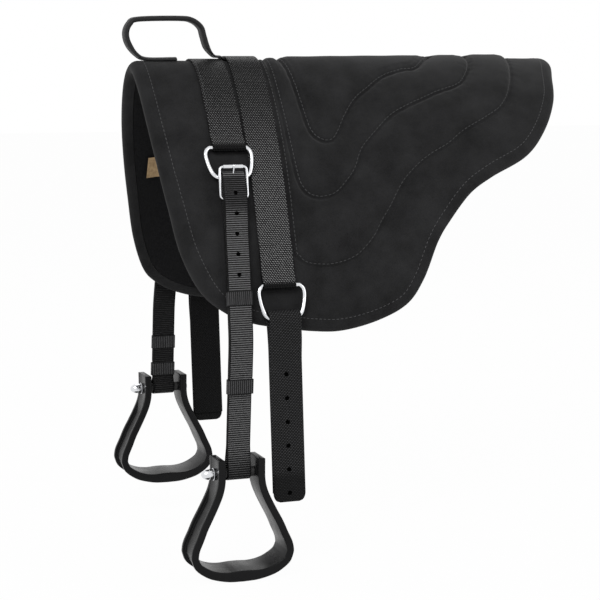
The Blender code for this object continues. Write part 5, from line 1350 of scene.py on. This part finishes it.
# %% Bolt, domed nut and sleeve
BOLT_RADIUS, BOLT_HEAD, HEAD_LENGTH, BOLT_END = 0.004, 0.0065, 0.005, 0.012
NUT_RADIUS, NUT_LENGTH, FLANGE_END, FLANGE_SOFT = 0.0072, 0.017, 0.0013, 0.0016
FIT, SLEEVE_SOFT, PIN_POINT, TURNED_SIDES = 0.0003, 0.0005, 0.0004, 48
FACE = EAR_FACE + FIT
QUARTER_TURN = np.linspace(0, np.pi / 2, 9)[:-1]
BOLT_PROFILE = [(-FACE - BOLT_END, PIN_POINT), (-FACE - BOLT_END, BOLT_RADIUS), (FACE, BOLT_RADIUS),
                (FACE, BOLT_HEAD - PIN_POINT), (FACE + PIN_POINT, BOLT_HEAD),
                *((FACE + HEAD_LENGTH * (0.45 + 0.55 * math.sin(a)),
                   BOLT_HEAD * (0.1 + 0.9 * math.cos(a) ** 0.6)) for a in QUARTER_TURN),
                (FACE + HEAD_LENGTH, PIN_POINT)]
NUT_PROFILE = [(-FACE, BOLT_RADIUS + FIT), (-FACE, NUT_RADIUS * 1.06),
               (-FACE - FLANGE_END, NUT_RADIUS * 1.1), (-FACE - FLANGE_SOFT, NUT_RADIUS),
               (-FACE - NUT_LENGTH * 0.4, NUT_RADIUS),
               *((-FACE - NUT_LENGTH * (0.42 + 0.58 * math.sin(a)),
                  NUT_RADIUS * 0.93 * math.cos(a)) for a in QUARTER_TURN),
               (-FACE - NUT_LENGTH, PIN_POINT)]
SLEEVE_PROFILE = soft_tube(EAR_GAP / 2 - FIT, SLEEVE_DIAMETER / 2, BOLT_RADIUS + FIT, SLEEVE_SOFT)
# Each turned piece: its profile, finish and slot, and whether the profile is a closed loop
FASTENINGS = {"stirrup_bolt": (BOLT_PROFILE, chrome, "chrome", False),
              "stirrup_bolt_nut": (NUT_PROFILE, chrome, "chrome", False),
              "bolt_sleeve": (SLEEVE_PROFILE, sleeve_rubber, "sleeve", True)}

for side_name, strap in places.items():
    centre = strap.world(strap.bolt)
    make_casting(side_name, centre)
    for node, (profile, finish, slot_name, closed) in FASTENINGS.items():
        piece = turned(f"{side_name}_{node}_turned", profile, centre, finish, TURNED_SIDES, closed)
        dress(piece, f"{side_name}_stirrup", slot_name, f"{side_name}_{node}")

# %% [markdown]
# The object is dark, so it is shown on a pale floor in soft light. Three large lamps give
# long soft highlights on the metal and a gentle shade under the flaps.
# %% Floor, light and camera
FLOOR_HALF, FLOOR_GAP, FLOOR_GLOW = 14.0, 0.0005, 0.975
WORLD_SEEN, WORLD_LIGHT = 0.55, 0.45


def seen_directly(tree):
    """1 for rays from the camera, mirrors and glass, and 0 for rays that carry light."""
    path = tree.nodes.new("ShaderNodeLightPath")
    seen = maths(tree, "MAXIMUM", path.outputs["Is Camera Ray"], path.outputs["Is Glossy Ray"])
    return maths(tree, "MAXIMUM", seen, path.outputs["Is Transmission Ray"])


def make_floor():
    """A wide pale square just under the stirrups; seen directly it is nearly white."""
    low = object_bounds()[0][2] - FLOOR_GAP
    mesh = bpy.data.meshes.new("pale_floor")
    corners = [(a * FLOOR_HALF, b * FLOOR_HALF, low)
               for a, b in ((-1, -1), (1, -1), (1, 1), (-1, 1))]
    mesh.from_pydata(corners, [], [(0, 1, 2, 3)])
    finish, tree, shader = new_finish("floor_paper", (0.86, 0.86, 0.86), 0.95,
                                      Specular_IOR_Level=0.0)
    glow = add(tree, "ShaderNodeEmission", Color=(1, 1, 1, 1), Strength=1.0)
    share = maths(tree, "MULTIPLY", seen_directly(tree), FLOOR_GLOW)
    mixed = add(tree, "ShaderNodeMixShader", i0=share, i1=shader.outputs[0], i2=glow.outputs[0])
    tree.links.new(mixed.outputs[0], tree.nodes["Material Output"].inputs["Surface"])
    mesh.materials.append(finish)
    link("pale_floor", mesh)


def lamp(name, place, aim, size, power):
    """Square area lamp at a place, turned to its aim."""
    data = bpy.data.lights.new(name, "AREA")
    data.size, data.energy = size, power
    item = link(name, data)
    item.location = place
    item.rotation_euler = (Vector(aim) - Vector(place)).to_track_quat("-Z", "Y").to_euler()


def make_world():
    """White when seen directly or in a mirror, softer as a light on the object."""
    world = bpy.data.worlds.new("studio")
    world.use_nodes = True
    tree = world.node_tree
    back = tree.nodes["Background"]
    back.inputs["Color"].default_value = (1, 1, 1, 1)
    strength = maths(tree, "MULTIPLY_ADD", seen_directly(tree), WORLD_SEEN, WORLD_LIGHT)
    tree.links.new(strength, back.inputs["Strength"])
    bpy.context.scene.world = world


make_floor()
make_world()
lamp("key_lamp", (-1.7, -2.2, 1.9), (0, 0, -0.2), 1.4, 60)
lamp("fill_lamp", (2.2, -1.8, 0.9), (0, 0, -0.3), 1.8, 17)
lamp("back_lamp", (0.8, 2.4, 1.9), (0, 0, -0.1), 1.6, 14)
view = bpy.data.cameras.new("photo_camera")
view.lens, view.sensor_width, view.clip_end = 106.4, 36.0, 60.0
eye = link("photo_camera", view)
eye.location = (-0.9084, -2.3117, 0.020)
eye.rotation_euler = (math.radians(90 - 7.7), 0.0, math.radians(-20))
bpy.context.scene.camera = eye
bpy.context.scene.view_settings.view_transform = "Standard"
print("camera and lamps are in place")
